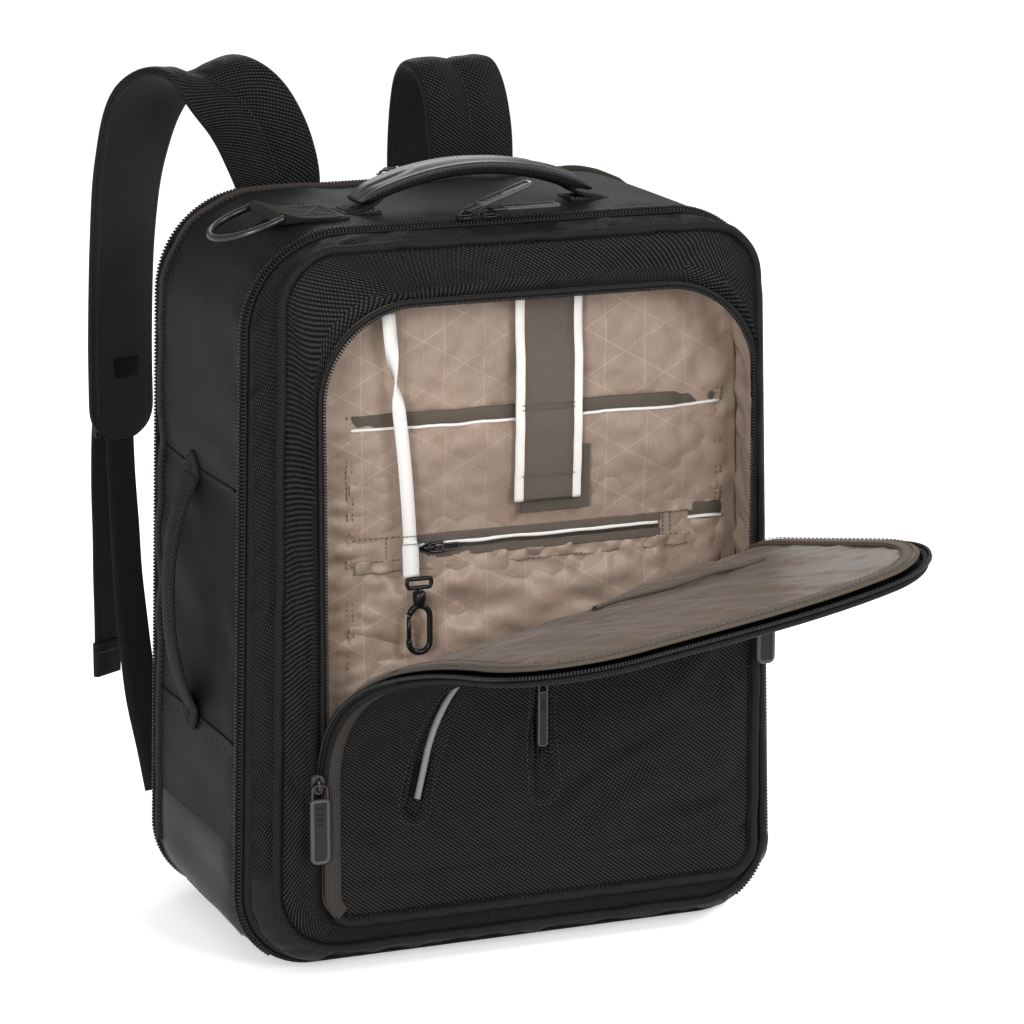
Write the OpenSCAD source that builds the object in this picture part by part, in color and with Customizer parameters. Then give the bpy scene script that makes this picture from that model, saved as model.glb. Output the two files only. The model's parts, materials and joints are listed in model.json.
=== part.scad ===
// Travel backpack with a fold-down front organiser, shown open.
// Millimetres. +Z up, the ground is z = 0, the front faces -Y, the wearer's back faces +Y.

/* [Bag] */
// Height of the main section above the ground
bag_h = 464; // [440:1:480]
// Width of the main section at the ground
bag_w_bottom = 364; // [356:1:372]
// Width of the main section at the top
bag_w_top = 346; // [338:1:354]
// Thickness of the padded walls
wall = 5; // [4:0.5:6]
// Radius of the top corners
top_r = 64; // [56:1:70]
// Radius of the bottom corners
bottom_r = 50; // [40:1:60]

/* [Front module] */
// Width of the front face at the bottom
front_w_bottom = 329; // [322:1:334]
// Width of the front face at the top
front_w_top = 312; // [306:1:320]
// Angle from closed at which the front flap stands open
flap_open = 75; // [60:1:85]

/* [Straps] */
// Width of the padded shoulder straps
strap_w = 58; // [50:1:62]
// Thickness of the padded shoulder straps
strap_t = 11; // [8:1:12]
// Width of the strap webbing
web_w = 25; // [20:1:28]

/* [Hardware] */
// Length of the large zip pulls
pull_l = 50; // [40:1:52]
// Width of the large zip pulls
pull_w = 13; // [10:1:13]
// Wire radius of the D-ring
ring_wire = 2.25; // [1.75:0.25:2.5]
// Inner width of the D-ring
ring_w = 52; // [50:1:54]

/* [Hidden] */

gap = 0.3;             // clearance between pieces that are not fastened to each other
skin_t = 1.5;          // one layer of lining or binding
tape_t = 2.2;          // depth of one half of a large zip
shell_front = -86;     // the main section's front edge
shell_back = 82;       // the main section's rear edge
face_y = -113.9;       // rear side of the front border
panel_t = 6;           // padded front panel and flap
panel_y = -121;        // outer side of the front panel
lining_y = -79;        // front side of the organiser's rear wall
divider_y = 60;        // front side of the padded divider
back_y = 106;          // rear edge of the rear gusset
win = [-134, 154, 34, 422];   // front opening: left, right, bottom, top
fold_left = 172;       // height of the fold at the opening's left edge
fold_rise = 66;        // how much higher the fold is at the right edge
fold_tilt = atan(fold_rise / (win[1] - win[0]));
function fold_z(x) = fold_left + tan(fold_tilt) * (x - win[0]);
fold_y = panel_y - 1;  // the fold runs along the outer face
$fn = 32;

// ---- outlines and helpers ----

// Quarter turn of radius r about [cx, cz], starting at angle a0
function corner(cx, cz, r, a0, n = 8) =
  [for (k = [0:n]) [cx + r * cos(a0 + 90 * k / n), cz + r * sin(a0 + 90 * k / n)]];

// Rounded outline, wider at the bottom than at the top, moved inwards by i
function outline(wb, wt, z0, z1, rb, rt, i = 0) =
  let (b = wb / 2 - rb, t = wt / 2 - rt, r0 = rb - i, r1 = rt - i)
  concat(corner(b, z0 + rb, r0, -90), corner(t, z1 - rt, r1, 0),
         corner(-t, z1 - rt, r1, 90), corner(-b, z0 + rb, r0, 180));

function shell_outline(i = 0) =
  outline(bag_w_bottom, bag_w_top, 0, bag_h, bottom_r, top_r, i);
function front_outline(i = 0) = outline(front_w_bottom, front_w_top, 18, 456, 40, 36, i);
function back_outline(i = 0) = outline(332, 314, 14, 454, 44, 52, i);
function lining_outline(i = 0) = outline(330, 316, 20, 448, 40, 52, i);

// The front opening: an arch with large top corners
function window(i = 0, rb = 20, rt = 62) =
  concat(corner(win[1] - rb, win[2] + rb, rb - i, -90), corner(win[1] - rt, win[3] - rt, rt - i, 0),
         corner(win[0] + rt, win[3] - rt, rt - i, 90), corner(win[0] + rb, win[2] + rb, rb - i, 180));

// Plate with an upright outline, from y0 back to y1
module plate(points, y0, y1) {
  translate([0, y1, 0]) rotate([90, 0, 0]) linear_extrude(height = y1 - y0) polygon(points);
}

// Upright band between two outlines
module band(outer, inner, y0, y1) {
  translate([0, y1, 0]) rotate([90, 0, 0]) linear_extrude(height = y1 - y0)
    difference() { polygon(outer); polygon(inner); }
}

// Box from its lowest to its highest corner
module block(lo, hi) { translate(lo) cube(hi - lo); }

function at_y(points, y) = [for (p = points) [p[0], y, p[1]]];

// Closed tube-like skin through loops of equal length; the last loop joins the first
module ring_skin(loops) {
  n = len(loops[0]);
  m = len(loops);
  polyhedron(
    points = [for (l = loops) for (p = l) p],
    faces = [for (i = [0:m - 1]) for (j = [0:n - 1])
      let (a = i * n + j, b = i * n + (j + 1) % n, c = ((i + 1) % m) * n + (j + 1) % n,
           d = ((i + 1) % m) * n + j) each [[a, b, c], [a, c, d]]]);
}

// Tapering wall between two outlines, of thickness t
module taper(front, front_in, y0, rear, rear_in, y1) {
  ring_skin([at_y(front, y0), at_y(front_in, y0), at_y(rear_in, y1), at_y(rear, y1)]);
}

// Point on a smooth curve through four neighbours
function bend(a, b, c, d, t) =
  0.5 * (2 * b + (c - a) * t + (2 * a - 5 * b + 4 * c - d) * t * t + (3 * b - a - 3 * c + d) * t * t * t);
function smooth(p, n = 3) =
  let (m = len(p) - 1)
  concat([for (i = [0:m - 1]) for (k = [0:n - 1])
    bend(p[max(i - 1, 0)], p[i], p[i + 1], p[min(i + 2, m)], k / n)], [p[m]]);
function unit(v) = v / norm(v);

// Flat strap swept along a route. Each route point is [x, y, z, turn]:
// turn is the angle of the strap's width about the upright axis.
function strap_ring(p, i, w, t) =
  let (a = p[max(i - 1, 0)], b = p[min(i + 1, len(p) - 1)],
       run = unit([b[0] - a[0], b[1] - a[1], b[2] - a[2]]),
       wide = [cos(p[i][3]), sin(p[i][3]), 0], across = unit(wide - run * (run * wide)),
       up = cross(run, across), c = [p[i][0], p[i][1], p[i][2]], e = t * 0.3)
  [for (q = [[1, -e], [1, e], [1 - 0.08, t / 2], [-1 + 0.08, t / 2], [-1, e], [-1, -e],
             [-1 + 0.08, -t / 2], [1 - 0.08, -t / 2]])
    c + across * q[0] * w / 2 + up * q[1]];
module strap(route, w, t) {
  p = smooth(route);
  m = len(p);
  n = 8;
  polyhedron(
    points = [for (i = [0:m - 1]) for (q = strap_ring(p, i, w, t)) q],
    faces = concat([[for (j = [0:n - 1]) j]], [[for (j = [n - 1:-1:0]) (m - 1) * n + j]],
      [for (i = [0:m - 2]) for (j = [0:n - 1])
        let (a = i * n + j, b = i * n + (j + 1) % n) each [[a, a + n, b + n], [a, b + n, b]]]));
}

// Everything above (side 1) or below (side -1) the fold line, kept clear of it by `clear`
module fold_side(side, clear) {
  translate([win[0], 0, fold_left]) rotate([0, -fold_tilt, 0])
    if (side > 0) block([-100, -200, clear], [500, 0, 500]);
    else block([-100, -200, -500], [500, 0, -clear]);
}

// Turns a closed flap piece to where it stands open
module opened() {
  pivot = [win[0], fold_y, fold_left];
  translate(pivot) rotate([0, -fold_tilt, 0]) rotate([flap_open, 0, 0])
    rotate([0, fold_tilt, 0]) translate(-pivot) children();
}

// Slider body with a bridge for its pull; it runs along Z and faces -Y
module slider(w, l, t) {
  block([-w / 2, -t, -l / 2], [w / 2, 0, l / 2]);
  translate([0, -t - 2.1, 0]) difference() {
    block([-1.6, -1.6, -4], [1.6, 2.1, 4]);
    translate([-3, 0, 0]) rotate([0, 90, 0]) cylinder(r = 1.15, h = 6);
  }
}

// Zip pull that hangs from a wire through a slider's bridge; the wire lies on X at the origin
module pull(w, l, t) {
  leg = max(w / 2 - 1.5, 2.8);
  translate([-leg, 0, 0]) rotate([0, 90, 0]) cylinder(r = 1.1, h = 2 * leg);
  for (s = [-1, 1]) block([s * leg - 1, -1.2, -9], [s * leg + 1, 1.2, 1.1]);
  translate([0, t / 2, -8]) rotate([90, 0, 0]) linear_extrude(height = t) {
    translate([-w / 2, -l + 8 + w / 2]) square([w, l - 8 - w / 2]);
    translate([0, -l + 8 + w / 2]) circle(d = w);
  }
}

// Pocket open at the top: a front sheet with a rim at the sides and bottom
module open_pocket(x0, x1, z0, z1, y_front, y_rear) {
  difference() {
    block([x0, y_front, z0], [x1, y_rear, z1]);
    block([x0 + 3, y_front + skin_t, z0 + 3], [x1 - 3, y_rear + 1, z1 + 1]);
  }
}

// ---- main section ----

module main_shell() color("#1c1c1f")
  band(shell_outline(), shell_outline(wall), shell_front, shell_back);

module base_board() color("#3a3a3c") block([-125, -80, wall + gap], [125, divider_y - gap, wall + 2.6]);

module divider() color("#7b6a5f")
  plate(shell_outline(wall + gap), divider_y, divider_y + wall);

sleeve_y = divider_y + wall + 0.05;
module laptop_sleeve() color("#6f5f55") difference() {
  block([-150, sleeve_y, 30], [150, sleeve_y + 12, 330]);
  block([-147, sleeve_y - 1, 33], [147, sleeve_y + 10.5, 331]);
}

module corner_guards() color("#4a4b4d")
  intersection() {
    band(shell_outline(-1.2), shell_outline(-0.05), shell_front + 1, shell_back - 15.4);
    union() for (s = [0, 1]) mirror([s, 0, 0]) block([140, -100, 14], [200, 100, 84]);
  }

module side_piping() color("#2a2a2c")
  difference() {
    band(shell_outline(-2), shell_outline(-0.05), 67, 70);
    block([-200, 60, -10], [200, 75, 40]);
  }

module zip1_tape_rear() color("#252527")
  band(shell_outline(1), shell_outline(wall + 4), shell_front - tape_t + 0.2, shell_front);

module zip2_tape_front() color("#252527")
  band(shell_outline(1), shell_outline(wall + 4), shell_back, shell_back + tape_t - 0.2);

// Fabric patches that hold the carry handle and the side handle
handle_x = -4;
handle_y = -36;
side_z = [146, 303];
side_lean = -atan((bag_w_bottom - bag_w_top) / 2 / (bag_h - top_r - bottom_r));
function side_x(z) = -bag_w_bottom / 2 - tan(side_lean) * (z - bottom_r);
module handle_patches() color("#242426") {
  for (s = [-1, 1]) translate([handle_x + s * 76, handle_y, bag_h])
    block([-13.5, -12, 0.1], [13.5, 12, 1.6]);
  for (z = side_z) translate([side_x(z), 0, z]) rotate([0, -side_lean, 0])
    block([-3.1, -17, -14], [-0.6, 17, 14]);
}

tab_y = [-67, -15];
ring_x = -139;
ring_z = bag_h + 4.5;
module d_ring_tab() color("#2c2a29") difference() {
  union() {
    block([ring_x + 4, tab_y[0], bag_h + 0.3], [-94, tab_y[1], bag_h + 3]);
    translate([ring_x, tab_y[1], ring_z]) rotate([90, 0, 0])
      cylinder(r = 4.2, h = tab_y[1] - tab_y[0]);
  }
  translate([ring_x, tab_y[1] + 1, ring_z]) rotate([90, 0, 0])
    cylinder(r = ring_wire + 0.08, h = tab_y[1] - tab_y[0] + 2);
}

// D-ring: a straight bar in the tab and a bow that lies on the bag's corner
ring_slope = 20;
ring_reach = 10;
module d_ring() color("#4d4e50")
  translate([ring_x, (tab_y[0] + tab_y[1]) / 2, ring_z]) rotate([0, -ring_slope, 0]) {
    r = ring_w / 2 + ring_wire;
    rotate([90, 0, 0]) translate([0, 0, -r]) cylinder(r = ring_wire, h = 2 * r);
    for (s = [-1, 1]) translate([0, s * r, 0]) {
      rotate([0, -90, 0]) cylinder(r = ring_wire, h = ring_reach);
      sphere(r = ring_wire);
    }
    translate([-ring_reach, 0, 0]) rotate([0, 0, 90]) rotate_extrude(angle = 180, $fn = 48)
      translate([r, 0]) circle(r = ring_wire);
  }

// Arched band between two radii, in the plane of x and z
function arch(half, rise, t, n = 20) =
  let (r = (half * half + rise * rise) / (2 * rise), a = asin(half / r))
  concat([for (k = [0:n]) let (q = -a + 2 * a * k / n) [r * sin(q), rise - r + r * cos(q)]],
         [for (k = [n:-1:0]) let (q = -a + 2 * a * k / n) [(r - t) * sin(q), rise - r + (r - t) * cos(q)]]);

handle_lift = 11.5;
module carry_handle() color("#3f4042")
  translate([handle_x, handle_y + 16.5, bag_h + handle_lift]) rotate([90, 0, 0])
    linear_extrude(height = 33) polygon(arch(80, 19, 7));

side_mid = (side_z[0] + side_z[1]) / 2;
module side_handle() color("#2a2a2c")
  translate([side_x(side_mid) - 10, 14, side_mid]) rotate([0, -side_lean, 0]) rotate([90, 0, 0])
    linear_extrude(height = 28) rotate(90) polygon(arch(76, 14, 3));

zip_top = bag_h + 1;
zip1_y = shell_front - 2.2;
zip2_y = shell_back + 2.2;
zip1_x = [-28, -12];
zip2_x = -16;
lean = 19;             // the left pull leans on the slider beside it
module top_slider(x, y) {
  translate([x, y, zip_top]) rotate([0, 0, 90]) rotate([-90, 0, 0]) slider(9, 13, 3);
}
module top_pull(x, y, lift = 0) {
  translate([x, y, zip_top + 5.1]) rotate([0, -90 - lift, 0]) rotate([0, 0, 90])
    pull(pull_w, pull_l - 4, 2.6);
}
module zip1_slider_a() color("#38393b") top_slider(zip1_x[0], zip1_y);
module zip1_slider_b() color("#38393b") top_slider(zip1_x[1], zip1_y);
module zip2_slider() color("#38393b") top_slider(zip2_x, zip2_y);
module zip1_pull_a() color("#303133") top_pull(zip1_x[0], zip1_y, lean);
module zip1_pull_b() color("#303133") top_pull(zip1_x[1], zip1_y);
module zip2_pull() color("#303133") top_pull(zip2_x, zip2_y);

// ---- front module ----

gusset_rear = shell_front - 2 * tape_t - 0.6;
module front_gusset() color("#1c1c1f")
  taper(front_outline(), front_outline(4), face_y + gap, shell_outline(3), shell_outline(8), gusset_rear);

module front_border() color("#1c1c1f")
  band(front_outline(1.8), window(), face_y - 2.3, face_y);

module front_piping() color("#101011")
  band(front_outline(-1.5), front_outline(1.6), face_y - 3.6, face_y);

module zip1_tape_front() color("#252527")
  band(shell_outline(3), shell_outline(wall + 4), gusset_rear + 0.05, gusset_rear + tape_t);

module front_zip_tape() color("#252527")
  intersection() {
    band(window(-5), window(0.2), face_y - 4.3, face_y - 2.4);
    plate(front_outline(2), face_y - 10, face_y);
    block([-200, -200, 112], [200, 0, 500]);
  }

module lining_gusset() color("#8a7769")
  taper(front_outline(4.6), front_outline(6.6), face_y + gap, lining_outline(0), lining_outline(2), lining_y);

module lining_wall() color("#9a8576") plate(lining_outline(), lining_y + 0.05, lining_y + 2.5);

slip = [-100, 144, 274, 346];
module slip_pocket() color("#9a8576")
  open_pocket(slip[0], slip[1], slip[2], slip[3], lining_y - 8.5, lining_y);

module zip_pocket() color("#9a8576") block([-103, lining_y - 4, 150], [124, lining_y, 252]);

module zip_pocket_tape() color("#b8aea6")
  difference() {
    block([-66, lining_y - 4.4, 252.2], [112, lining_y, 268]);
    block([-58, lining_y - 4.6, 258.6], [104, lining_y - 2.4, 261.6]);
  }

inner_y = lining_y - 4.7;
module zip_pocket_slider() color("#2d2e30") translate([-52, inner_y, 260]) rotate([0, 90, 0]) slider(7, 9, 1.6);
module zip_pocket_pull() color("#2d2e30")
  translate([-52, inner_y - 3.7, 260]) rotate([0, -90, 0]) pull(5, 20, 1.4);

module pen_pocket() color("#9a8576")
  open_pocket(126.5, 148, 172, 262, lining_y - 7.5, lining_y);

module hook_patch() color("#6a5e52") block([8, lining_y - 9.8, 277], [46, lining_y - 8.5, 300]);

module retention_strap() color("#75685c") block([4, lining_y - 12.2, 287], [48, lining_y - 10.2, 416]);

leash_y = lining_y - 17;
leash_top = [-81, 411];
leash_low = [-66, 245];
module leash() color("#d8d4cf")
  plate([[leash_top[0] - 5, leash_top[1]], [leash_low[0] - 6, leash_low[1]],
         [leash_low[0] + 6, leash_low[1]], [leash_top[0] + 5, leash_top[1]]], leash_y, leash_y + 1.4);

hook_x = -62;
hook_y = leash_y + 0.7;
module hook_eye() color("#1b1b1c") translate([hook_x, hook_y, 0]) {
  difference() {
    block([-9, -1.6, 236.4], [9, 1.6, 244.8]);
    block([-6.6, -3, 238.8], [6.6, 3, 242.6]);
  }
  translate([0, 0, 228.6]) cylinder(r = 1.55, h = 8.2);
}

// Snap hook: a collar with a bore for the swivel pin, and a long eye with an opening for the gate
module hook_body() color("#1b1b1c") translate([hook_x, hook_y, 0]) difference() {
  union() {
    translate([0, 0, 226]) cylinder(r = 4.2, h = 9.6);
    translate([0, 2, 211]) rotate([90, 0, 0]) linear_extrude(height = 4) {
      for (s = [-1, 1]) translate([0, s * 8]) circle(r = 8.5);
      square([17, 16], center = true);
    }
  }
  translate([0, 0, 228]) cylinder(r = 1.6, h = 9);
  translate([0, 3, 210]) rotate([90, 0, 0]) linear_extrude(height = 6) {
    for (s = [-1, 1]) translate([0, s * 7]) circle(r = 5);
    square([10, 14], center = true);
  }
  block([-12, -3, 205], [-4, 3, 220]);
}

module hook_gate() color("#262627") translate([hook_x - 6.9, hook_y, 0]) {
  block([-1.3, -1.5, 205.6], [1.3, 1.5, 219.6]);
}

module lower_panel() color("#1c1c1f") intersection() {
  plate(window(0.3), panel_y, panel_y + panel_t);
  fold_side(-1, 2);
}

// Raised welts beside the two upright pocket zips, below the fold
welt_x = [-68, 8];
module lower_welts() color("#2f3032")
  for (x = welt_x) block([x - 4, panel_y - 1, 104], [x + 4, panel_y - 0.05, fold_z(x) - 8]);

welt_z = 180;
module welt_slider() color("#38393b") translate([welt_x[1], panel_y - 1.3, welt_z]) slider(7, 10, 2);
module welt_pull() color("#303133") translate([welt_x[1], panel_y - 5.4, welt_z]) pull(7, 44, 2);

left_slider = [-139.5, 127];
right_slider = [160.5, 224];
slider_y = panel_y - 0.5;
module front_slider(p) { translate([p[0], slider_y, p[1]]) slider(10, 14, 3.2); }
module front_pull(p) { translate([p[0], slider_y - 5.3, p[1]]) pull(pull_w, pull_l, 2.8); }
module front_slider_left() color("#38393b") front_slider(left_slider);
module front_pull_left() color("#303133") front_pull(left_slider);
module front_slider_right() color("#38393b") front_slider(right_slider);
module front_pull_right() color("#303133") front_pull(right_slider);

// ---- front flap, drawn closed and turned open ----

module flap_panel() color("#1c1c1f") opened() intersection() {
  plate(window(1.5), panel_y, panel_y + panel_t);
  fold_side(1, 2);
}

module flap_lining() color("#85756a") opened() {
  intersection() {
    plate(window(7), panel_y + panel_t + 0.05, panel_y + panel_t + skin_t);
    fold_side(1, 6);
  }
  block([-20, panel_y + panel_t + skin_t + 0.05, 262], [118, panel_y + panel_t + 2.6, 336]);
}

module flap_zip_tape() color("#252527") opened() intersection() {
  band(window(1.5), window(6.5), panel_y - 1.2, panel_y - 0.05);
  fold_side(1, 6);
}

// ---- rear module ----

rear_zip = shell_back + tape_t + 0.4;
module zip2_tape_rear() color("#252527")
  band(shell_outline(3), shell_outline(wall + 4), rear_zip, rear_zip + tape_t - 0.05);

module back_gusset() color("#1c1c1f")
  taper(shell_outline(3), shell_outline(8), rear_zip + tape_t, back_outline(), back_outline(4), back_y);

module back_sheet() color("#202022") plate(back_outline(), back_y + 0.05, back_y + 4);

pad_y = back_y + 4.05;
module back_pads() color("#29292b") {
  for (s = [0, 1]) mirror([s, 0, 0])
    plate([for (p = corner(108, 380, 14, 0)) p, each corner(34, 380, 14, 90),
           each corner(34, 158, 14, 180), each corner(108, 158, 14, 270)], pad_y, pad_y + 8);
  plate(concat(corner(104, 118, 16, 0), corner(-104, 118, 16, 90), corner(-104, 64, 16, 180),
               corner(104, 64, 16, 270)), pad_y, pad_y + 8);
}

anchor_z = 434;
strap_x = [-77, 58];
low_x = 172;
low_z = 60;
module strap_fixings() color("#242426") {
  for (x = strap_x) block([x - 32, pad_y, anchor_z - 22], [x + 32, pad_y + 3, anchor_z + 12]);
  for (s = [-1, 1]) translate([s * 148, pad_y, low_z])
    rotate([-90, 0, 0]) linear_extrude(height = 2.4)
      polygon([[-s * 16, 18], [-s * 16, -18], [s * 14, -9], [s * 14, 9]]);
}

left_route = [[-77, 120.4, 431, 0], [-79, 119.8, 468, -4], [-97, 127, 510, -10], [-124, 148, 528, -4],
  [-147, 170, 514, 12], [-158, 182, 472, 24], [-163, 187, 420, 30], [-166, 187, 356, 31],
  [-167, 185, 306, 31], [-167, 183, 284, 31]];
right_route = [[58, 120.4, 431, 0], [58, 119.8, 468, 0], [56, 127, 510, 4], [54, 148, 528, 0],
  [53, 170, 516, -6], [54, 184, 472, -10], [57, 190, 420, -12], [64, 192, 356, -14],
  [76, 190, 306, -16], [82, 189, 284, -18]];
module strap_left() color("#1c1c1f") strap(left_route, strap_w, strap_t);
module strap_right() color("#1c1c1f") strap(right_route, strap_w, strap_t);

left_web = [[-170, 181, 279, 30], [-170, 176, 240, 28], [-170, 166, 180, 24], [-168, 150, 120, 16],
  [-165, 126, 76, 6], [-164, 117, 60, 0]];
right_web = [[86, 187, 279, -18], [98, 180, 240, -18], [118, 168, 180, -14], [140, 150, 120, -8],
  [160, 126, 76, 0], [164, 117, 60, 0]];
left_tail = [[-177, 192, 276, 30], [-178, 191, 220, 30], [-179, 190, 160, 34], [-180, 189, 122, 38]];
right_tail = [[92, 197, 276, -18], [98, 195, 220, -18], [106, 192, 160, -14], [112, 190, 122, -10]];
module web_left() color("#19191a") { strap(left_web, web_w, 1.8); strap(left_tail, web_w, 1.6); }
module web_right() color("#19191a") { strap(right_web, web_w, 1.8); strap(right_tail, web_w, 1.6); }

// Ladder-lock buckle: a frame with two bars, on the rear of the strap's end
module ladder_lock(p, turn) {
  translate(p) rotate([0, 0, turn]) difference() {
    block([-17, 0, -15], [17, 5, 15]);
    for (z = [-10.5, 3.5]) block([-13, -1, z], [13, 6, z + 7]);
  }
}
module ladder_lock_left() color("#232325") ladder_lock([-170.5, 192.6, 300], 31);
module ladder_lock_right() color("#232325") ladder_lock([83, 198.6, 300], -18);

main_shell();
base_board();
divider();
laptop_sleeve();
corner_guards();
side_piping();
zip1_tape_rear();
zip2_tape_front();
handle_patches();
d_ring_tab();
carry_handle();
d_ring();
side_handle();
zip1_slider_a();
zip1_slider_b();
zip1_pull_a();
zip1_pull_b();
zip2_slider();
zip2_pull();
front_gusset();
front_border();
front_piping();
zip1_tape_front();
front_zip_tape();
lining_gusset();
lining_wall();
slip_pocket();
zip_pocket();
zip_pocket_tape();
zip_pocket_slider();
zip_pocket_pull();
pen_pocket();
hook_patch();
retention_strap();
leash();
hook_eye();
hook_body();
hook_gate();
lower_panel();
lower_welts();
welt_slider();
welt_pull();
front_slider_left();
front_pull_left();
front_slider_right();
front_pull_right();
flap_panel();
flap_lining();
flap_zip_tape();
back_gusset();
zip2_tape_rear();
back_sheet();
back_pads();
strap_fixings();
strap_left();
strap_right();
web_left();
web_right();
ladder_lock_left();
ladder_lock_right();
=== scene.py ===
"""Travel backpack, shown open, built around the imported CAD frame. Lengths are in millimetres until a mesh is made."""

import json
import math

import bmesh
import bpy
import numpy as np
from mathutils import Matrix, Vector

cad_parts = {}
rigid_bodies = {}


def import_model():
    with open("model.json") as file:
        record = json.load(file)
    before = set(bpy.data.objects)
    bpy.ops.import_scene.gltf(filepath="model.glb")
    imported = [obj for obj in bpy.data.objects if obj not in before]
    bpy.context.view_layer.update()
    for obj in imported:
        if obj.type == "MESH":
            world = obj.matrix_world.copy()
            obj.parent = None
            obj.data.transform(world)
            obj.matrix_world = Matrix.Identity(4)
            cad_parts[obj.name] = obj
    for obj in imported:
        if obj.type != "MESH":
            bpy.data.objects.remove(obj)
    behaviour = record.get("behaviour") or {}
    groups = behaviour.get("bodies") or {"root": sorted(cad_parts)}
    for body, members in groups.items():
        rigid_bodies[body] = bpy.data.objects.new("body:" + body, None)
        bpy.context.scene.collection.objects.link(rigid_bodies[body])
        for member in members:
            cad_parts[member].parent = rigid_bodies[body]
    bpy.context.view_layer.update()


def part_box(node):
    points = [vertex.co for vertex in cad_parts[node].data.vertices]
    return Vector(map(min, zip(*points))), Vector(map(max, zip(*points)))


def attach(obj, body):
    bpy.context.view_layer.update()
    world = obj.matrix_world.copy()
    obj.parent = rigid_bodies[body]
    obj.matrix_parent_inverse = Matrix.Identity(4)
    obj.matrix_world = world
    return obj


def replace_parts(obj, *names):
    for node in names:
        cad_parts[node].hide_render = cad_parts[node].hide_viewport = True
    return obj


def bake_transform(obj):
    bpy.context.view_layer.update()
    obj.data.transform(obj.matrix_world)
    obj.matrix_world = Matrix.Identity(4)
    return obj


for leftover in list(bpy.data.objects):
    bpy.data.objects.remove(leftover)
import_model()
MM = 0.001
# planes of the two perimeter zips, the height of their sliders on top, and of the pulls' pins
ZIP1_Y, ZIP2_Y, SLIDER_TOP, PIN_TOP = -88.2, 84.2, 465, 470.1
TO_FRONT, TO_REAR, TO_TOP = (0, -1, 0), (0, 1, 0), (0, 0, 1)

# ---------------------------------------------------------------- numbers, outlines and paths


def stacked(*values):
    """Separate coordinates as rows of points."""
    return np.stack(values, -1)


def same_for(direction, like):
    """One direction for every point of `like`."""
    return np.broadcast_to(direction, like.shape)


def smooth(t):
    t = np.clip(t, 0, 1)
    return t * t * (3 - 2 * t)


def hump(x, centre, width):
    return np.exp(-(((np.asarray(x) - centre) / width) ** 2))


def ripple(p, wave, seed, octaves=2):
    """Smooth irregular field, about -1 to 1, over points p, with features about `wave` long."""
    rng = np.random.default_rng(seed)
    p = np.asarray(p, float)
    out, amount = np.zeros(p.shape[:-1]), 1.0
    for _ in range(octaves):
        for _ in range(7):
            d = rng.normal(size=p.shape[-1])
            d /= np.linalg.norm(d)
            out += amount * 0.4 * np.sin(2 * math.pi / wave * rng.uniform(0.6, 1.5) * (p @ d) + rng.uniform(0, 6.28))
        amount, wave = amount * 0.5, wave * 0.5
    return out


def unit(v):
    v = np.asarray(v, float)
    return v / np.maximum(np.linalg.norm(v, axis=-1, keepdims=True), 1e-9)


def corner(cx, cz, r, a0, n):
    a = np.radians(a0 + 90 * np.arange(n + 1) / n)
    return stacked(cx + r * np.cos(a), cz + r * np.sin(a))


def loop_of(corners, n=18, sides=(64, 92, 60, 92)):
    """Outline through four rounded corners, with the same number of points whatever their sizes."""
    out = []
    for k, c in enumerate(corners):
        arc = corner(*c, n)
        nxt = corner(*corners[(k + 1) % 4], n)[0]
        t = np.arange(1, sides[(k + 1) % 4])[:, None] / sides[(k + 1) % 4]
        out += [arc, arc[-1] + (nxt - arc[-1]) * t]
    return np.concatenate(out)


def outline(wb, wt, z0, z1, rb, rt, i=0.0, **k):
    b, t = wb / 2 - rb, wt / 2 - rt
    return loop_of(
        [(b, z0 + rb, rb - i, -90), (t, z1 - rt, rt - i, 0), (-t, z1 - rt, rt - i, 90),
            (-b, z0 + rb, rb - i, 180)], **k
    )


def shell_outline(i=0.0):
    return outline(364, 346, 0, 464, 50, 64, i)


def front_outline(i=0.0):
    return outline(329, 312, 18, 456, 40, 36, i)


def back_outline(i=0.0):
    return outline(332, 314, 14, 454, 44, 52, i)


def lining_outline(i=0.0):
    return outline(330, 316, 20, 448, 40, 52, i)


WIN = (-134.0, 154.0, 34.0, 422.0)


def window(i=0.0, rb=20, rt=62, right=3.0):
    """The front opening; `right` moves its right side to where the zip rolls over the module's edge."""
    x0, x1, z0, z1 = WIN[0], WIN[1] + right, WIN[2], WIN[3]
    return loop_of(
        [(x1 - rb, z0 + rb, rb - i, -90), (x1 - rt, z1 - rt, rt - i, 0), (x0 + rt, z1 - rt, rt - i, 90),
            (x0 + rb, z0 + rb, rb - i, 180)]
    )


def at_y(points, y):
    return stacked(points[:, 0], np.broadcast_to(y, len(points)), points[:, 1])


def spans(points, zs):
    """Left and right x of a rounded outline at each height."""
    a, b = points, np.roll(points, -1, 0)
    out = []
    for z in zs:
        hit = (a[:, 1] - z) * (b[:, 1] - z) <= 0
        t = (z - a[hit, 1]) / np.where(abs(b[hit, 1] - a[hit, 1]) < 1e-9, 1e-9, b[hit, 1] - a[hit, 1])
        x = a[hit, 0] + np.clip(t, 0, 1) * (b[hit, 0] - a[hit, 0])
        out.append((x.min(), x.max()))
    return np.array(out)


def along(path, step, *more, closed=False):
    """Points every `step` along a path, with other values there."""
    path = np.asarray(path, float)
    if closed:
        path = np.concatenate([path, path[:1]])
        more = [np.concatenate([m, m[:1]]) for m in more]
    s = np.concatenate([[0], np.cumsum(np.linalg.norm(np.diff(path, axis=0), axis=1))])
    n = max(2, int(round(s[-1] / step)) + 1)
    t = np.linspace(0, s[-1], n)[: -1 if closed else None]
    pick = [np.stack([np.interp(t, s, m[:, k]) for k in range(m.shape[1])], -1) for m in (path, *more)]
    return pick[0] if not more else pick


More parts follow.
